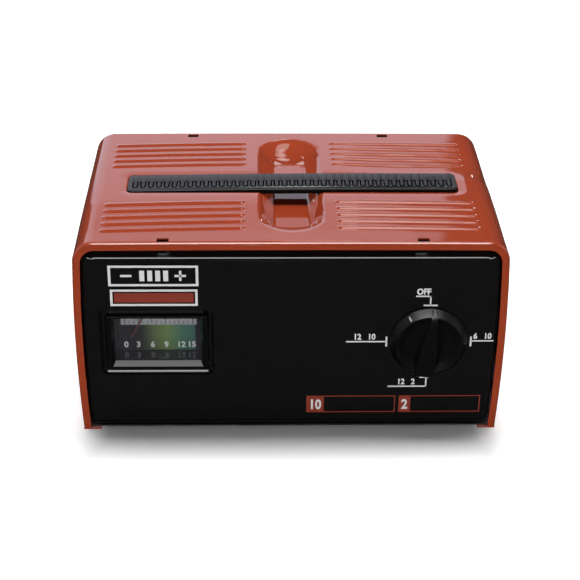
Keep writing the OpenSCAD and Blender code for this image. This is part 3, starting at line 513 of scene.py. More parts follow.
# x0, x1: ends of a row; first, pitch: rows from the middle line y; bow: how far a row bends at half
# from mid; end: length of its rounded ends
BEAD = dict(x0=24.3, x1=102.4, w=5.0, h=0.78, first=25.9, pitch=7.55, count=5, y=0.2, bow=2.7,
            mid=20.0, half=107.0, end=2.6)
SLOTS = [(-67.7, -70.4), (69.4, -70.4), (-56.7, 68.4), (57.6, 68.4)]
SLOT_W, SLOT_D = 6.2, 4.0
# cross rows of the top, as (from, to, step): fine where the beads end
SIDE_ROWS = [(24, 30, 0.55), (32, 86, 3.0), (87, 103, 0.55)]
WELL_HALF, WELL_STEP, LONG_STEP = 24, 0.8, 0.6
FEET_X, FEET_Y = (105.0, 114.9), 73.9
FLAT = 0.99999                  # a normal with more z than this is on the flat top


def sag(y, z):
    """How far the top sinks towards the front edge, and the front panel's top with it."""
    share = ramp((SAG["start"] - y) / SAG["over"], SAG["fold"], SAG["fold"])
    return SAG["depth"] * share * fall(z, FADE_LOW, FADE_HIGH)


def settle(ob):
    """Moves a finished piece down by the sag."""
    for v in ob.data.vertices:
        v.co.z -= sag(v.co.y / MM, v.co.z / MM) * MM
    return ob


def dip(x, y):
    """Slow dip at the right: it deepens from the rear edge forward and ends before the strap."""
    depth = DIP["depth"] * fall(x, DIP["x0"], DIP["x1"])
    if y > DIP["turn"]:
        return depth * ramp((DIP["rear"] - y) / DIP["over"], DIP["fold"], DIP["fold"])
    return depth * fall(y, DIP["end"], DIP["turn"])


def crown(x):
    return CROWN * max(0.0, 1 - (x / CROWN_X) ** 2)


def well_depth(x, y):
    """Finger well: its rim has round ends, its floor is a narrow rounded rectangle."""
    dx, dy = abs(x - WELL["x"]), abs(y - WELL["y"])
    rim = math.hypot(dx, max(dy - WELL["straight"], 0.0) * WELL["a"] / WELL["b"]) - WELL["a"]
    if rim > WELL["reach"]:
        return 0.0
    floor = sd_round_rect(dx, dy, WELL["fx"], WELL["fy"], WELL["fr"])
    if rim >= 0:
        t = -rim / WELL["slope"]
    elif floor <= 0:
        t = 1 - floor / WELL["slope"]
    else:
        t = -rim / (-rim + floor)
    steep = 1.0 + WELL["steeper"] * fall(dy, WELL["end0"], WELL["end1"])
    return WELL["depth"] * ramp((t - 1.0) * steep + 1.0, WELL["rim_fold"], WELL["floor_fold"])


def pocket_depth(x, y):
    """Tight recess for the strap, inside a very shallow dish."""
    if abs(y) >= POCKET["reach"]:
        return 0.0
    edge = sd_round_rect(x - POCKET["x"], y - POCKET["y"], POCKET["hx"], POCKET["hy"], POCKET["r"])
    dish = POCKET["dish"] * ramp(1 - edge / POCKET["ring"], POCKET["ring_fold"], POCKET["dish_fold"])
    wall = 0.5 - (edge + POCKET["out"]) / POCKET["wall"]
    return dish + POCKET["depth"] * ramp(wall, POCKET["fold"], POCKET["fold"])


def bead_height(x, y):
    """Four groups of pressed beads, in slightly bowed rows with rounded ends."""
    ax = abs(x)
    if ax < BEAD["x0"] - 1 or ax > BEAD["x1"] + 1:
        return 0.0
    bow = BEAD["bow"] * ((x - BEAD["mid"]) / BEAD["half"]) ** 2
    across = abs(y - BEAD["y"] + bow) - BEAD["first"]
    i = round(across / BEAD["pitch"])
    if i < 0 or i >= BEAD["count"]:
        return 0.0
    past_end = max(BEAD["x0"] + BEAD["end"] - ax, ax - BEAD["x1"] + BEAD["end"], 0.0)
    q = math.hypot((across - i * BEAD["pitch"]) / (BEAD["w"] / 2), past_end / BEAD["end"])
    if q >= 1:
        return 0.0
    return BEAD["h"] * (0.5 + 0.5 * math.cos(math.pi * q)) ** 0.9


def top_z(x, y):
    return crown(x) - max(well_depth(x, y), pocket_depth(x, y)) + bead_height(x, y)


def in_slot(x, y):
    return any(abs(x - sx) < SLOT_W / 2 and abs(y - sy) < SLOT_D / 2 for sx, sy in SLOTS)


def build_cover():
    xs = merge_steps(spaced(-WELL_HALF, WELL_HALF, WELL_STEP),
                     [s * v for s in (-1, 1) for row in SIDE_ROWS for v in spaced(*row)],
                     [s * (abs(x) + d) for s in (-1, 1) for x, _ in SLOTS for d in (-SLOT_W / 2, SLOT_W / 2)])
    path = outline(0.0, tops=xs)
    front = -CASE_D / 2 + RIM_BEND
    rim = [(-RIM_W, -CASE_D / 2)] + arc(-RIM_BEND, front, RIM_BEND, -90, 0, 6)
    ys = merge_steps(spaced(front, -front, LONG_STEP),
                     [y + d for _, y in SLOTS for d in (-SLOT_D / 2, SLOT_D / 2)])
    section = rim + [(0.0, y) for y in ys[1:-1]] + [(n, -y) for (n, y) in reversed(rim)]
    verts = []
    for (x, z, nx, nz) in path:
        for (n, y) in section:
            vx, vz = x + nx * n, z + nz * n
            if nz > FLAT:
                vz += top_z(x, y) if n == 0.0 else crown(x)
            verts.append((vx, y, vz - dip(x, y) * fall(vz, FADE_LOW, FADE_HIGH)))
    m = len(section)
    faces = []
    for a, a1, b1, b in grid_faces(len(path), m):
        flat = path[a // m][3] > FLAT and path[b // m][3] > FLAT
        x, y = (verts[a][0] + verts[b][0]) / 2, (verts[a][1] + verts[a1][1]) / 2
        if not (flat and in_slot(x, y)):
            faces.append((a, a1, b1, b))
    ob = obj_from("cover_sheet", verts, faces)
    edit_mesh(ob, lambda bm: bmesh.ops.delete(
        bm, geom=[v for v in bm.verts if not v.link_faces], context="VERTS"))
    face_out(ob, lambda f: f.normal.z if f.calc_center_median().z > (CASE_H - 2.0) * MM else 0.0)
    thicken(ob)
    for v in ob.data.vertices:
        v.co.z = max(v.co.z, 0.0)
    feet = []
    for s in (-1, 1):
        x0, x1 = sorted((s * FEET_X[0], s * FEET_X[1]))
        feet.append(plate("foot_strip", [rect(x0, -FEET_Y, x1, FEET_Y)], 0.0, SHEET, bevel=0.2, plane="XY"))
    ob = join("cover_sheet", [ob] + feet)
    shade(ob, 50)
    return keep(settle(ob), "case", "cover", mat=RED, slot="red_paint")


# ---------------------------------------------------------------- panels
PANEL_IN = 4.7                  # the panels' edges lie this far inside the case's outline
PANEL_LOW = 2.6
FOOT_BEND, FOOT_BACK = 3.0, 16.0
EDGE_BACK, EDGE_BEND, FOLD_BACK = 13.0, 10.0, 9.0
TAB_HALF = 2.9
FRONT_TAB = dict(x=68.6, y=-69.5, top=116.0)
REAR_TAB = dict(x=57.0, y=68.8, top=116.3)
VENT = dict(first=18, pitch=11, count=7, w=4.0, h=32.0, r=1.99, z=78)
CORD_HOLES, CORD_Z = ((78.0, 6.8), (-78.0, 8.3)), 26
BUSH_R = 5.1
OPEN_Z0, OPEN_Z1 = 38.4, 74.2
OPEN_W, OPEN_R = 56.2, 1.6
OPEN_H, OPEN_Z = OPEN_Z1 - OPEN_Z0, (OPEN_Z0 + OPEN_Z1) / 2
LIP_R, LIP_DEEP = 2.7, 3.1
LIP_ANGLES = (0, 12, 24, 34, 56, 66, 78, 90)


def quarter(r, a):
    """Place on a quarter round from a face's edge to its depth: (across, back)."""
    return (r * math.cos(math.radians(a)), r * math.sin(math.radians(a)))


def panel_shell(name, bend, drop, holes, sign):
    """Folded panel: a flat face with holes, round folds at its sides, top and foot."""
    y_face = sign * (CASE_D / 2 - FACE_IN)
    back = -sign
    path = outline(PANEL_LOW + FOOT_BEND, side=20, corner=14)
    verts, rim = [], []
    for (x, z, nx, nz) in path:
        shoulder = drop * fall(nz, 0.5, 1.0)
        a0 = math.degrees(math.atan2(shoulder, FOLD_BACK - bend))
        fold = [(-PANEL_IN, EDGE_BACK), (-PANEL_IN, EDGE_BEND),
                (-PANEL_IN - 0.05 * shoulder, FOLD_BACK + 0.2)]
        for i in range(13):
            across, deep = quarter(bend, a0 + (90 - a0) * i / 12)
            fold.append((-PANEL_IN - shoulder - bend + across, bend - deep))
        for (n, d) in fold:
            verts.append((x + nx * n, y_face + back * d, z + nz * n))
        inset = PANEL_IN + shoulder + bend
        rim.append((x - nx * inset, z - nz * inset))
    shell = obj_from(name + "_fold", verts, grid_faces(len(path), len(fold)))
    thicken(face_out(shell, lambda f: f.normal.x * f.calc_center_median().x))
    face = plate(name + "_face", [rim] + holes, y_face, y_face + back * SHEET)
    section = [(0.0, FOOT_BEND)]
    for a in range(15, 91, 15):
        across, deep = quarter(FOOT_BEND, a)
        section.append((FOOT_BEND - across, FOOT_BEND - deep))
    section.append((FOOT_BACK, 0.0))
    half = rim[0][0]
    verts = [(s * half, y_face + back * d, PANEL_LOW + z) for s in (-1, 1) for (d, z) in section]
    foot = obj_from(name + "_foot", verts, grid_faces(2, len(section)))
    thicken(face_out(foot, lambda f: f.normal.y * sign))
    return weld(join(name, [shell, face, foot]))


def tabs(x, y, top):
    """Two tabs that stand up from a panel's top fold into the cover's slots."""
    low = CASE_H - PANEL_IN - SHEET
    return [plate("tab", [rect(s * x - TAB_HALF, low, s * x + TAB_HALF, top)],
                  y - SHEET / 2, y + SHEET / 2, bevel=0.12) for s in (-1, 1)]


def lip_ring():
    """Rolled edge round the meter opening."""
    steps = 8
    base = round_rect(OPEN_W, OPEN_H, OPEN_R, steps)
    normals = [quarter(1.0, 90 * i + 90 * k / steps) for i in range(4) for k in range(steps + 1)]
    section = [(quarter(LIP_R, a)[0], quarter(LIP_DEEP, a)[1]) for a in LIP_ANGLES]
    section.append((0.0, LIP_R + SHEET))
    verts = [(METER_X + x + nx * n, FACE_Y + d, OPEN_Z + z + nz * n)
             for (x, z), (nx, nz) in zip(base, normals) for (n, d) in section]
    ob = obj_from("lip", verts, grid_faces(len(base), len(section), wrap=True))
    return thicken(face_out(ob, lambda f: -f.normal.y))


def finish_panel(ob):
    shade(ob, 40)
    weighted(ob)
    return ob


def build_front_panel():
    hole = [(METER_X + x, OPEN_Z + z) for x, z in
            round_rect(OPEN_W + 2 * LIP_R, OPEN_H + 2 * LIP_R, OPEN_R + LIP_R, 8)]
    bush = circle(KNOB_X, KNOB_Z, BUSH_R, 40)
    ob = panel_shell("front_panel_sheet", 3.6, 3.4, [hole, bush], -1)
    ob = weld(join("front_panel_sheet", [ob, lip_ring()] + tabs(**FRONT_TAB)))
    return keep(settle(finish_panel(ob)), "case", "front_panel", mat=BLACK, slot="black_paint")


def build_rear_panel():
    holes = []
    for s in (-1, 1):
        for i in range(VENT["count"]):
            x = s * (VENT["first"] + i * VENT["pitch"])
            holes.append([(x + px, VENT["z"] + pz) for px, pz in
                          round_rect(VENT["w"], VENT["h"], VENT["r"], 6)])
    holes += [circle(x, CORD_Z, r, 48) for x, r in CORD_HOLES]
    ob = panel_shell("rear_panel_sheet", 3.0, 0.0, holes, 1)
    ob = join("rear_panel_sheet", [ob] + tabs(**REAR_TAB))
    return keep(finish_panel(ob), "case", "rear_panel", mat=BLACK, slot="black_paint")


# ---------------------------------------------------------------- strap
STRAP_Z, STRAP_T = 114.72, 2.8
RELIEF = 1.7                    # depth of the wavy groove along its top
STRAP_CORNER = 3.2
BOW_UP, BOW_DROP, BOW_MID, BOW_HALF = 0.86, 1.45, 46.0, 140.0
WAVE_PITCH, WAVE_COUNT = 4.425, 41
BAND_W = 4.1                    # the plain band along its front edge
TONGUE_W, GROOVE_OUT = 1.85, 1.68               # a tongue's width, and the wave's radius round its tip
# from the wave's centre line: the tongues' roots, the band's peaks and the tips' centres
TONGUE_BACK, PEAK_BACK, TIP_IN = 6.6, 5.6, 0.4
STUD = dict(r=3.0, length=13.0, edge=0.3, rise=0.4, down=12.2, in_from_end=10)


def strap_rise(x):
    """The strap bows up, most of it right of the middle, and its left end sits low."""
    return BOW_UP - BOW_DROP * ((x - BOW_MID) / BOW_HALF) ** 2


def strap_slab(length, width, t, cx, cy):
    """Lower layer of the strap, with cross rows so that it can bow, kept clear of the pocket's floor."""
    chamfer, clear, n = 0.1, 0.05, 64
    r = STRAP_CORNER
    rows = []
    for i in range(n + 1):
        x = -length / 2 + length * i / n
        inset = 0.0
        d = length / 2 - abs(x)
        if d < r:
            inset = r - math.sqrt(max(0.0, r * r - (r - d) ** 2))
        h = width / 2 - inset
        floor = CASE_H - POCKET["depth"] - POCKET["dish"] + crown(cx + x)
        low = max(STRAP_Z, floor + clear - strap_rise(cx + x))
        section = [(-h, low + chamfer), (-h, STRAP_Z + t), (h, STRAP_Z + t), (h, low + chamfer),
                   (h - chamfer, low), (-h + chamfer, low)]
        rows.append([(cx + x, cy + y, z) for y, z in section])
    return loft("slab", rows)


def strap_tongue(x, centre, rear, lo, hi):
    """One tongue of the rear half, with a round tip in the groove."""
    half, tongue, root = WAVE_PITCH / 2, TONGUE_W / 2, centre + TONGUE_BACK
    pts = [(x - half, rear), (x - half, root), (x - tongue, root)]
    pts += arc(x, centre + TIP_IN, tongue, 180, 360, 12)
    pts += [(x + tongue, root), (x + half, root), (x + half, rear)]
    return plate("tongue", [pts], lo, hi, bevel=0.11, plane="XY")


def strap_band(box, first, centre, lo, hi):
    """The front band, whose rear edge is the groove's wave, with both ends of the strap."""
    x0, y0, x1, y1 = box
    r, half = STRAP_CORNER, WAVE_PITCH / 2
    root = centre + TONGUE_BACK
    last = first + (WAVE_COUNT - 1) * WAVE_PITCH
    pts = [(first - half, y1)] + arc(x0 + r, y1 - r, r, 90, 180, 6) + arc(x0 + r, y0 + r, r, 180, 270, 6)
    pts += [(x, y0) for x in spaced(x0 + r, x1 - r, 5.0)[1:-1]]
    pts += arc(x1 - r, y0 + r, r, 270, 360, 6) + arc(x1 - r, y1 - r, r, 0, 90, 6) + [(last + half, y1)]
    pts += [(last + half, root), (last + GROOVE_OUT, root)]
    peak = half - GROOVE_OUT
    for i in range(WAVE_COUNT):
        x = last - i * WAVE_PITCH
        pts += arc(x, centre, GROOVE_OUT, 0, -180, 14)
        if i < WAVE_COUNT - 1:
            pts += arc(x - half, centre + PEAK_BACK - peak, peak, 0, 180, 6)
    pts += [(first - GROOVE_OUT, root), (first - half, root)]
    return plate("band", [pts], lo, hi, bevel=0.2, plane="XY")


def strap_stud(x, y):
    r = STUD["r"]
    profile = [(0, 0), (r - STUD["edge"], 0), (r, STUD["rise"]), (r, STUD["length"]), (0, STUD["length"])]
    return place(lathe("stud", profile, 32),
                 Matrix.Translation((x * MM, y * MM, (STRAP_Z - STUD["down"]) * MM)))


def build_strap():
    """Flexible strap with a wavy groove between its tongues and its front band."""
    lo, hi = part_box("handle_strap")
    x0, x1 = lo[0] / MM, hi[0] / MM
    y0, y1 = lo[1] / MM, hi[1] / MM
    cx, cy = (x0 + x1) / 2, (y0 + y1) / 2
    length, width = x1 - x0, y1 - y0
    low, top = STRAP_Z + STRAP_T - RELIEF - 0.1, STRAP_Z + STRAP_T
    centre = y0 + BAND_W + GROOVE_OUT
    first = cx - (WAVE_COUNT - 1) / 2 * WAVE_PITCH
    pieces = [strap_slab(length - 0.3, width - 0.3, STRAP_T - RELIEF, cx, cy)]
    for i in range(WAVE_COUNT):
        pieces.append(strap_tongue(first + i * WAVE_PITCH, centre, y1, low, top))
    pieces.append(strap_band((x0, y0, x1, y1), first, centre, low, top))
    ob = join("carrying_strap", pieces)
    for v in ob.data.vertices:
        v.co.z += strap_rise(v.co.x / MM) * MM
    reach = length / 2 - STUD["in_from_end"]
    ob = join("carrying_strap", [ob] + [strap_stud(cx + s * reach, cy) for s in (-1, 1)])
    shade(ob, 35)
    ob = keep(ob, "strap", "handle_strap", mat=STRAP, slot="strap")
    # painted shade: the darker copy goes on the strap's steep sides and on the sunk floor of its wavy groove
    ob.data.materials.append(STRAP_PAINTED_SHADE)
    groove_top = STRAP_Z + STRAP_T - RELIEF + 0.3
    for f in ob.data.polygons:
        sunk = f.center.z / MM - strap_rise(f.center.x / MM) < groove_top
        f.material_index = 1 if abs(f.normal.z) < 0.35 or sunk else 0
    return ob


# ---------------------------------------------------------------- knob
KNOB_LEAN, KNOB_GAP = -6.5, 0.8                 # turn of the pointer at rest, and gap to the panel
KNOB_R, KNOB_R1, KNOB_RING = 20.95, 18.1, 4.9   # foot radius, ring radius and ring height
KNOB_FLOOR, KNOB_FLOOR_R = 1.9, 13.6
SKIRT_R, SKIRT_Z = KNOB_R - 0.2, 0.75           # where the sloping skirt starts
SKIRT_RISE = KNOB_RING - 1.05
GRIP_TOP = 6.75
TICK_AT, TICK_HALF_W, TICK_HALF_L = 34.0, 0.45, 1.5
# along the grip: (place, half width at its face, half width at its foot, height of its face)
GRIP = [(-19.9, 4.9, 5.3, 3.0), (-19.0, 5.0, 5.6, 5.4), (-18.0, 5.0, 5.9, 6.6), (-15.0, 4.9, 6.6, GRIP_TOP),
        (-10.0, 4.7, 7.9, GRIP_TOP), (-5.0, 4.5, 8.6, GRIP_TOP), (0.0, 4.2, 8.9, GRIP_TOP),
        (5.0, 3.6, 9.0, GRIP_TOP), (10.0, 2.7, 8.6, GRIP_TOP), (14.0, 2.0, 7.6, GRIP_TOP),
        (17.0, 1.7, 5.0, 6.2), (18.2, 1.6, 2.4, 5.2), (20.4, 1.6, 1.9, 1.5)]


def grip():
    """Grip bar: a long wedge with scooped sides, from the pointer's tip to a broad tail."""
    rows = []
    for (y, face, foot, top) in GRIP:
        foot_z = 0.9 if abs(y) > 19 else KNOB_FLOOR - 0.3
        side = []
        for k in range(7):
            t = k / 6.0
            side.append((foot + (face - foot) * (1 - (1 - t) ** 1.7), foot_z + (top - foot_z) * t ** 1.25))
        side.append((face - 0.35, top + 0.12))
        rows.append([(-w, y, z) for (w, z) in side] + [(w, y, z) for (w, z) in reversed(side)])
    return loft("grip", rows)


def knob_pose(angle):
    """From a piece that lies flat, its pointer up, to its place on the panel, turned by an angle."""
    there = Matrix.Translation((KNOB_X * MM, (FACE_Y - KNOB_GAP) * MM, KNOB_Z * MM))
    return there @ STAND @ Matrix.Rotation(math.radians(angle), 4, "Z")


def build_knob():
    """Pointer knob with a sloping skirt, and a small white tick on the skirt that turns with it."""
    h, r1 = KNOB_RING, KNOB_R1
    profile = [(12.0, 0.0), (KNOB_R, 0.0), (KNOB_R, 0.45), (SKIRT_R, SKIRT_Z)]
    profile += [(r1 + (SKIRT_R - r1) * (1 - t) ** 0.85, SKIRT_Z + SKIRT_RISE * t)
                for t in spaced(0.0, 1.0, 0.2)[1:]]
    profile += [(r1 - 0.15, h - 0.06), (r1 - 0.45, h), (r1 - 0.9, h - 0.1)]
    profile += [(KNOB_FLOOR_R + 0.5, KNOB_FLOOR + 0.25), (KNOB_FLOOR_R, KNOB_FLOOR), (0.0, KNOB_FLOOR)]
    ob = join("pointer_knob", [lathe("skirt", profile, 128), grip()])
    shade(ob, 38)
    place(ob, knob_pose(KNOB_LEAN))
    keep(ob, "selector", "selector_knob", mat=KNOB, slot="gloss_black")
    tick = plate("knob_tick", [rect(-TICK_HALF_W, -TICK_HALF_L, TICK_HALF_W, TICK_HALF_L)], -0.05, 0.12,
                 bevel=0.03, plane="XY")
    slope = Matrix.Rotation(math.atan2(SKIRT_RISE, SKIRT_R - r1), 4, "X")
    on_skirt = Matrix.Translation((0, (SKIRT_R + r1) / 2 * MM, (SKIRT_Z + SKIRT_RISE / 2 + 0.35) * MM))
    place(tick, knob_pose(TICK_AT) @ on_skirt @ slope.inverted())
    keep(tick, "selector", mat=WHITE_INK)


# ---------------------------------------------------------------- meter
BEZEL_W, BEZEL_Z0, BEZEL_Z1 = 55.6, 38.7, 71.6
WINDOW_W, WINDOW_Z0, WINDOW_Z1 = 46.6, 42.1, 68.7
BEZEL_FRONT, BEZEL_BACK = 1.2, 4.6              # depths behind the panel's face
PLATE_Y = FACE_Y + 15.3
CARD_T, CARD_HALF = 0.8, 23.3
DIGITS = [(0, -89.0), (3, -82.4), (6, -74.7), (9, -67.3), (12, -59.3), (15, -53.6)]
DIGIT_Z, DIGIT_SIZE = 44.2, 4.9
GREY_Z0, GREY_Z1 = 58.4, 66.0
TICKS = dict(first=-18.6, span=37.2, n=15, half=0.14, z0=58.9, short=60.6, long=62.4)
CARD_STOPS = [(0.0, (0.018, 0.017, 0.022)), (0.3, (0.022, 0.022, 0.022)), (0.42, (0.1, 0.13, 0.05)),
              (0.6, (0.16, 0.27, 0.07)), (0.76, (0.06, 0.19, 0.12)), (0.925, (0.045, 0.15, 0.12)),
              (0.93, (0.016, 0.017, 0.019)), (1.0, (0.015, 0.015, 0.018))]


def bezel_ring(width, lo, hi, depth, r):
    centre = (lo + hi) / 2
    return [(METER_X + x, FACE_Y + depth, centre + z) for x, z in round_rect(width, hi - lo, r, 6)]


def build_bezel():
    """Moulded frame with rounded edges, and a steep bevel down to its window."""
    w, z0, z1, f = BEZEL_W, BEZEL_Z0, BEZEL_Z1, BEZEL_FRONT
    ww, wz0, wz1 = WINDOW_W, WINDOW_Z0, WINDOW_Z1
    rings = [bezel_ring(w, z0, z1, BEZEL_BACK, 1.4),
             bezel_ring(w, z0, z1, f + 0.9, 1.4),
             bezel_ring(w - 0.5, z0 + 0.25, z1 - 0.25, f + 0.4, 1.2),
             bezel_ring(w - 1.1, z0 + 0.55, z1 - 0.55, f, 0.9),
             bezel_ring(ww + 3.3, wz0 - 2.4, wz1 + 1.5, f, 0.35),
             bezel_ring(ww + 2.9, wz0 - 2.15, wz1 + 1.3, f + 0.12, 0.3),
             bezel_ring(ww + 0.2, wz0 - 0.1, wz1 + 0.1, BEZEL_BACK - 0.4, 0.25),
             bezel_ring(ww, wz0, wz1, BEZEL_BACK - 0.25, 0.25),
             bezel_ring(ww, wz0, wz1, BEZEL_BACK, 0.25)]
    c, n = len(rings[0]), len(rings)
    faces = [(k * c + i, k * c + (i + 1) % c, (k + 1) % n * c + (i + 1) % c, (k + 1) % n * c + i)
             for k in range(n) for i in range(c)]
    ob = obj_from("meter_frame_front", [p for ring in rings for p in ring], faces)
    edit_mesh(ob, lambda bm: bmesh.ops.recalc_face_normals(bm, faces=bm.faces))
    ob.data.set_sharp_from_angle(angle=math.radians(28))
    weighted(ob)
    return keep(ob, "case", "meter_bezel", mat=BEZEL, slot="gloss_black")


def scale_material():
    """Scale card: dark at both ends, and a colour ramp from olive to blue-green between them."""
    m, nt, b = principled("scale card")
    b.inputs["Roughness"].default_value = 0.55
    coords = nt.nodes.new("ShaderNodeTexCoord").outputs["Object"]
    sep = nt.nodes.new("ShaderNodeSeparateXYZ")
    nt.links.new(coords, sep.inputs["Vector"])
    along = map_range(nt, sep.outputs["X"], (METER_X - CARD_HALF) * MM, (METER_X + CARD_HALF) * MM,
                      kind="LINEAR")
    mix = nt.nodes.new("ShaderNodeMix")
    mix.data_type = "RGBA"
    mix.blend_type = "MULTIPLY"
    mix.inputs["Factor"].default_value = 0.15
    nt.links.new(color_ramp(nt, along, CARD_STOPS), mix.inputs["A"])
    nt.links.new(noise_node(nt, coords, 500), mix.inputs["B"])
    nt.links.new(mix.outputs["Result"], b.inputs["Base Color"])
    return m


def build_meter():
    build_bezel()
    lo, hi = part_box("meter_scale")
    card = plate("scale_card", [rect(lo[0] / MM, lo[2] / MM, hi[0] / MM, hi[2] / MM)],
                 PLATE_Y, PLATE_Y + CARD_T, bevel=0.1)
    keep(card, "case", "meter_scale", mat=scale_material(), slot="scale_print")
    grey = bar(METER_X - 20.8, GREY_Z0, METER_X + 20.9, GREY_Z1, PLATE_Y - 0.05, PLATE_Y)
    keep(join("scale_grey_band", [grey]), "case", mat=GREY_INK, slot="scale_print")
    digits = [text_plate(str(v), x + (x - METER_X) * 0.02 - 1.2, DIGIT_Z, DIGIT_SIZE, PLATE_Y - 0.12, PLATE_Y,
                         0.13, 0.98) for v, x in DIGITS]
    digits = join("scale_digits", digits)
    ticks = []
    for i in range(TICKS["n"] + 1):
        x = METER_X + TICKS["first"] + TICKS["span"] * i / TICKS["n"]
        top = TICKS["long"] if i % 3 == 0 else TICKS["short"]
        ticks.append(bar(x - TICKS["half"], TICKS["z0"], x + TICKS["half"], top,
                         PLATE_Y - 0.12, PLATE_Y - 0.04))
    keep(join("scale_ticks", ticks), "case", mat=BLACK, slot="black_paint")
    keep(digits, "case", mat=WHITE_INK, slot="white_plastic")


# ---------------------------------------------------------------- printing on the front panel
# brackets round the dial, each from its label to its mark beside the knob: (x0, z0, x1, z1)
BRACKETS = [(66.6, 83.8, 75.0, 84.6), (74.2, 78.6, 75.0, 84.6), (70.9, 78.1, 78.5, 79.1),
            (29.9, 55.8, 52.0, 56.6), (51.3, 53.1, 52.3, 59.3),
            (97.2, 53.1, 98.2, 59.3), (97.6, 56.1, 110.0, 56.9),
            (70.8, 33.0, 78.4, 34.0), (74.2, 27.2, 75.0, 34.0), (53.6, 27.2, 75.0, 28.0)]
# (text, x, z, size, added weight)
LABELS = [("OFF", 70.8, 85.3, 5.0, 0.2), ("12   10", 39.8, 57.6, 4.9, 0.17),
          ("6   10", 103.9, 57.9, 4.9, 0.17), ("12   2", 63.6, 29.0, 4.9, 0.17)]
BOX_NUMBERS = [("10", 13.75), ("2", 63.4)]
# battery pictogram: its frame, its minus and plus signs and the first of its four bars
PICTOGRAM, PICTOGRAM_IN = (-97.0, 90.6, -49.3, 102.9), (-95.6, 91.9, -50.7, 101.6)
SIGNS = [(-90.5, 96.1, -84.5, 97.4), (-61.8, 96.1, -55.8, 97.4), (-59.45, 93.7, -58.15, 99.8)]
CELL, CELL_PITCH = (-80.4, 93.6, -77.8, 99.9), 4.2
STRIPE_FRAME, STRIPE_IN = (-96.4, 78.6, -49.9, 88.6), (-95.1, 79.9, -51.2, 87.3)
STRIPE = (-94.3, 80.7, -52.0, 86.5)
# the two outline boxes: left and right edge, and the right edge of the filled block
BOXES, BOX_Z0, BOX_Z1, BOX_LINE = ((8.9, 58.2, 18.6), (60.1, 105.4, 66.7)), 10.7, 21.6, 0.6


def build_print():
    y0, y1 = FACE_Y - 0.04, FACE_Y + 0.02
    white = [bar(*b, y0, y1) for b in BRACKETS]
    white += [text_plate(t, x, z, size, y0, y1, bold, 0.86) for t, x, z, size, bold in LABELS]
    white += [text_plate(t, x, 13.0, 8.6, y0 - 0.02, y1, 0.3, 0.8) for t, x in BOX_NUMBERS]
    white.append(plate("frame", [rect(*PICTOGRAM), rect(*PICTOGRAM_IN)], y0, y1))
    white += [bar(*b, y0, y1) for b in SIGNS]
    for i in range(4):
        x0, z0, x1, z1 = CELL
        white.append(bar(x0 + CELL_PITCH * i, z0, x1 + CELL_PITCH * i, z1, y0, y1))
    white.append(plate("frame", [rect(*STRIPE_FRAME), rect(*STRIPE_IN)], y0, y1))
    keep(join("panel_print_white", white), "case", mat=WHITE_INK, slot="white_plastic")
    red = [bar(*STRIPE, y0, y1)]
    for left, right, block in BOXES:
        inside = rect(block, BOX_Z0 + BOX_LINE, right - BOX_LINE, BOX_Z1 - BOX_LINE)
        red.append(plate("frame", [rect(left, BOX_Z0, right, BOX_Z1), inside], y0, y1))
    keep(join("panel_print_red", red), "case", mat=RED_INK, slot="red_paint")


# ---------------------------------------------------------------- carried-over CAD nodes
CAD_MATS = {
    "base_tray": ZINC, "handle_retainers": ZINC, "meter_housing": GLOSSY, "meter_frame": BRASS,
    "meter_magnet": STEEL, "meter_studs": COPPER, "meter_needle": NEEDLE, "meter_clips": ZINC,
    "knob_pointer": MARK, "switch_rotor": PHENOLIC, "switch_housing": PHENOLIC, "switch_contacts": BRASS,
    "switch_nut": ZINC, "transformer_core": CORE, "bobbin": NYLON, "primary_winding": COPPER,
    "secondary_winding": COPPER, "transformer_frame": ZINC, "transformer_screws": STEEL, "heat_sink": ALU,
    "rectifier_diodes": STEEL, "heat_sink_screws": STEEL, "circuit_breaker": ZINC, "terminal_block": KNOB,
    "terminal_screws": BRASS, "mains_bushing": KNOB, "output_bushing": KNOB, "case_screws": ZINC,
    "panel_rivets": ZINC, "mains_wires": WIRE, "low_voltage_wires": WIRE,
}


def lens_material():
    m, _, b = principled("clear lens")
    b.inputs["Base Color"].default_value = (0.3, 0.3, 0.34, 1)
    b.inputs["Roughness"].default_value = 0.03
    b.inputs["IOR"].default_value = 1.5
    b.inputs["Alpha"].default_value = 0.04
    return m


def dress(node_name, material):
    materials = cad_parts[node_name].data.materials
    materials.clear()
    materials.append(material)


for node_name, material in CAD_MATS.items():
    dress(node_name, material)
dress("meter_lens", lens_material())

build_cover()
build_front_panel()
build_rear_panel()
build_strap()
build_knob()
build_meter()
build_print()


# ---------------------------------------------------------------- stage, light and camera, in metres
# where the floor's painted glow fades in round the case at the sides, behind and in front, each as (from, to)
PAINTED_GLOW_SIDE, PAINTED_GLOW_REAR, PAINTED_GLOW_FRONT = (0.098, 0.125), (0.07, 0.08), (-0.125, -0.08)
FLOOR_HALF, FLOOR_PAINTED_GLOW = 6.0, 0.5
FLOOR_GREY, FLOOR_SEEN, FLOOR_GLOSSY = 0.8, 0.95, 0.045


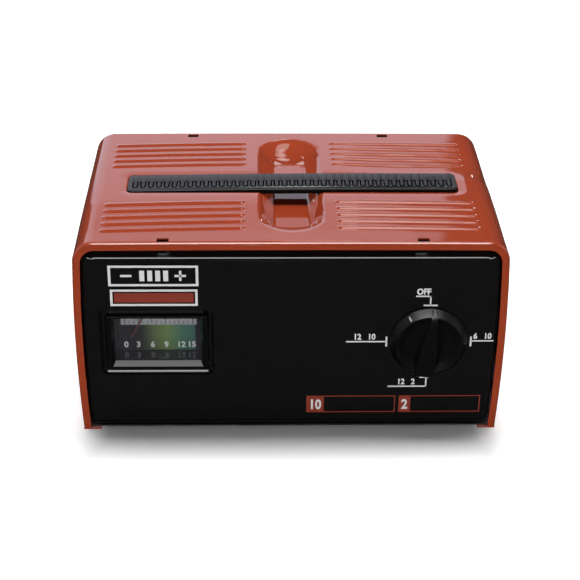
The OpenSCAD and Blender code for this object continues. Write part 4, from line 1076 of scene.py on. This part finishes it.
def floor_material():
    """Brighter for the camera, and nearly black in reflections."""
    m = bpy.data.materials.new("floor white")
    m.use_nodes = True
    nt = m.node_tree
    nt.nodes.clear()
    out = nt.nodes.new("ShaderNodeOutputMaterial")
    sep = nt.nodes.new("ShaderNodeSeparateXYZ")
    nt.links.new(nt.nodes.new("ShaderNodeTexCoord").outputs["Object"], sep.inputs["Vector"])
    # painted light: the floor glows round the case and washes out its shadow at the sides and behind; under
    # the case and just in front of it the glow is left out, so the shadow stays there
    side = map_range(nt, math_node(nt, "ABSOLUTE", sep.outputs["X"], 0.0), *PAINTED_GLOW_SIDE)
    rear = map_range(nt, sep.outputs["Y"], *PAINTED_GLOW_REAR)
    front = map_range(nt, sep.outputs["Y"], *PAINTED_GLOW_FRONT, 1.0, 0.0)
    around = math_node(nt, "MAXIMUM", math_node(nt, "MAXIMUM", side, rear), front)
    glow = nt.nodes.new("ShaderNodeEmission")
    nt.links.new(math_node(nt, "MULTIPLY", around, FLOOR_PAINTED_GLOW), glow.inputs["Strength"])
    seen = nt.nodes.new("ShaderNodeAddShader")
    nt.links.new(diffuse(nt, FLOOR_SEEN), seen.inputs[0])
    nt.links.new(glow.outputs[0], seen.inputs[1])
    ray = nt.nodes.new("ShaderNodeLightPath").outputs
    bounce = mix_shader(nt, ray["Is Glossy Ray"], diffuse(nt, FLOOR_GREY), diffuse(nt, FLOOR_GLOSSY))
    nt.links.new(mix_shader(nt, ray["Is Camera Ray"], bounce, seen.outputs[0]), out.inputs["Surface"])
    return m


def build_stage():
    me = bpy.data.meshes.new("floor")
    s = FLOOR_HALF
    me.from_pydata([(-s, -s, 0), (s, -s, 0), (s, s, 0), (-s, s, 0)], [], [(0, 1, 2, 3)])
    me.materials.append(floor_material())
    floor = link_new("floor", me)


def build_world():
    """White for the camera, a soft sky for light, and a dim studio for reflections.

    The studio has a white sweep behind the case, cut off at both sides and along a slanting top edge,
    and a dim flank at each side. u is a direction's place to the side of straight back.
    """
    w = bpy.data.worlds.new("studio")
    bpy.context.scene.world = w
    w.use_nodes = True
    nt = w.node_tree
    nt.nodes.clear()
    out = nt.nodes.new("ShaderNodeOutputWorld")
    sep = nt.nodes.new("ShaderNodeSeparateXYZ")
    nt.links.new(nt.nodes.new("ShaderNodeTexCoord").outputs["Generated"], sep.inputs["Vector"])
    x, y, z = sep.outputs["X"], sep.outputs["Y"], sep.outputs["Z"]
    u = math_node(nt, "DIVIDE", x, math_node(nt, "MAXIMUM", y, 0.02))
    left = map_range(nt, u, -0.49, -0.455)
    right = map_range(nt, u, 0.14, 0.15, 1.0, 0.0)
    fade = map_range(nt, z, 0.4, 0.46, 1.0, 0.72, kind="LINEAR")
    limit = map_range(nt, u, 0.045, 0.125, 0.66, 0.45, kind="LINEAR")
    low = map_range(nt, math_node(nt, "SUBTRACT", z, limit), -0.02, 0.02, 1.0, 0.0)
    sweep = math_node(nt, "MULTIPLY", math_node(nt, "MULTIPLY", left, right), low)
    sweep = math_node(nt, "MULTIPLY", math_node(nt, "MULTIPLY", sweep, fade), 0.8)
    flank = map_range(nt, math_node(nt, "ABSOLUTE", u, 0.0), 1.4, 1.8)
    flank_low = map_range(nt, z, 0.5, 0.7, 1.0, 0.0)
    flanks = math_node(nt, "MULTIPLY", math_node(nt, "MULTIPLY", flank, flank_low), 0.6)
    flanks = math_node(nt, "MULTIPLY", flanks, map_range(nt, y, -0.3, 0.0))
    total = math_node(nt, "ADD", math_node(nt, "ADD", sweep, flanks), 0.04)
    room = background(nt, (0.97, 0.98, 1.13), total)
    sky = background(nt, (1, 1, 1), map_range(nt, y, -0.2, 0.5, 0.02, 0.45))
    white = background(nt, (1, 1, 1), 1.0)
    ray = nt.nodes.new("ShaderNodeLightPath").outputs
    light = mix_shader(nt, ray["Is Glossy Ray"], sky, room)
    nt.links.new(mix_shader(nt, ray["Is Camera Ray"], light, white), out.inputs["Surface"])


def lamp(name, azimuth, elevation, dist, size, radiance, glossy=True, diffuse=True, shape="RECTANGLE"):
    """Area lamp seen from the case at an azimuth (0 = behind, 90 = right) and an elevation."""
    az, el = math.radians(azimuth), math.radians(elevation)
    to = Vector((math.sin(az) * math.cos(el), math.cos(az) * math.cos(el), math.sin(el)))
    ld = bpy.data.lights.new(name, "AREA")
    ld.shape = shape
    ld.size, ld.size_y = size
    ld.energy = math.pi * size[0] * size[1] * radiance
    ob = link_new(name, ld)
    ob.location = Vector((0, 0, 0.1)) + to * dist
    ob.rotation_euler = to.to_track_quat("Z", "Y").to_euler()
    ob.visible_glossy = glossy
    ob.visible_diffuse = diffuse


CAMERA_PLACE = (-0.01806, -0.7644, 0.46375)
CAMERA_LENS, SENSOR_WIDTH = 91.81, 36.0
CAMERA_PITCH, CAMERA_YAW, CAMERA_ROLL = 28.536, 1.434, 0.578


def build_camera():
    cd = bpy.data.cameras.new("camera")
    cd.lens = CAMERA_LENS
    cd.sensor_width = SENSOR_WIDTH
    cd.clip_start = 0.01
    pitch, yaw, roll = (math.radians(a) for a in (CAMERA_PITCH, CAMERA_YAW, CAMERA_ROLL))
    ahead = Vector((math.sin(yaw) * math.cos(pitch), math.cos(yaw) * math.cos(pitch), -math.sin(pitch)))
    level = ahead.cross(Vector((0, 0, 1))).normalized()
    plumb = level.cross(ahead)
    right = math.cos(roll) * level + math.sin(roll) * plumb
    up = -math.sin(roll) * level + math.cos(roll) * plumb
    cam = link_new("camera", cd)
    cam.matrix_world = Matrix.Translation(CAMERA_PLACE) @ Matrix((right, up, -ahead)).transposed().to_4x4()
    bpy.context.scene.camera = cam


build_stage()
build_world()
lamp("overhead box", 0, 83.5, 1.3, (0.9, 0.3), 15.5, glossy=False)
lamp("left box", -80, 38, 1.3, (0.6, 0.5), 1.1, glossy=False)
lamp("right box", 80, 38, 1.3, (0.6, 0.5), 1.1, glossy=False)
lamp("front box", 180, 58, 1.15, (0.75, 0.3), 13.0, diffuse=False)
lamp("front top box", 180, 80, 1.15, (1.3, 0.5), 4.0, diffuse=False)
lamp("front fill", 180, 8, 1.4, (1.0, 0.3), 8.0, glossy=False)
lamp("rear spot", 4, 38, 1.5, (0.12, 0.12), 5.0)
lamp("corner spot", 17, 11.7, 1.33, (0.07, 0.07), 12.0, diffuse=False)
lamp("key light rear", 17, 62.3, 1.3, (0.33, 0.16), 1.4, shape="ELLIPSE")
lamp("key light middle", 19, 67.2, 1.3, (0.12, 0.2), 1.0)
lamp("key light front", 22, 72.5, 1.3, (0.28, 0.2), 2.4, shape="ELLIPSE")
lamp("streak light", -40, 66, 1.3, (0.22, 0.05), 6.0)
build_camera()
bpy.context.scene.view_settings.view_transform = "Standard"
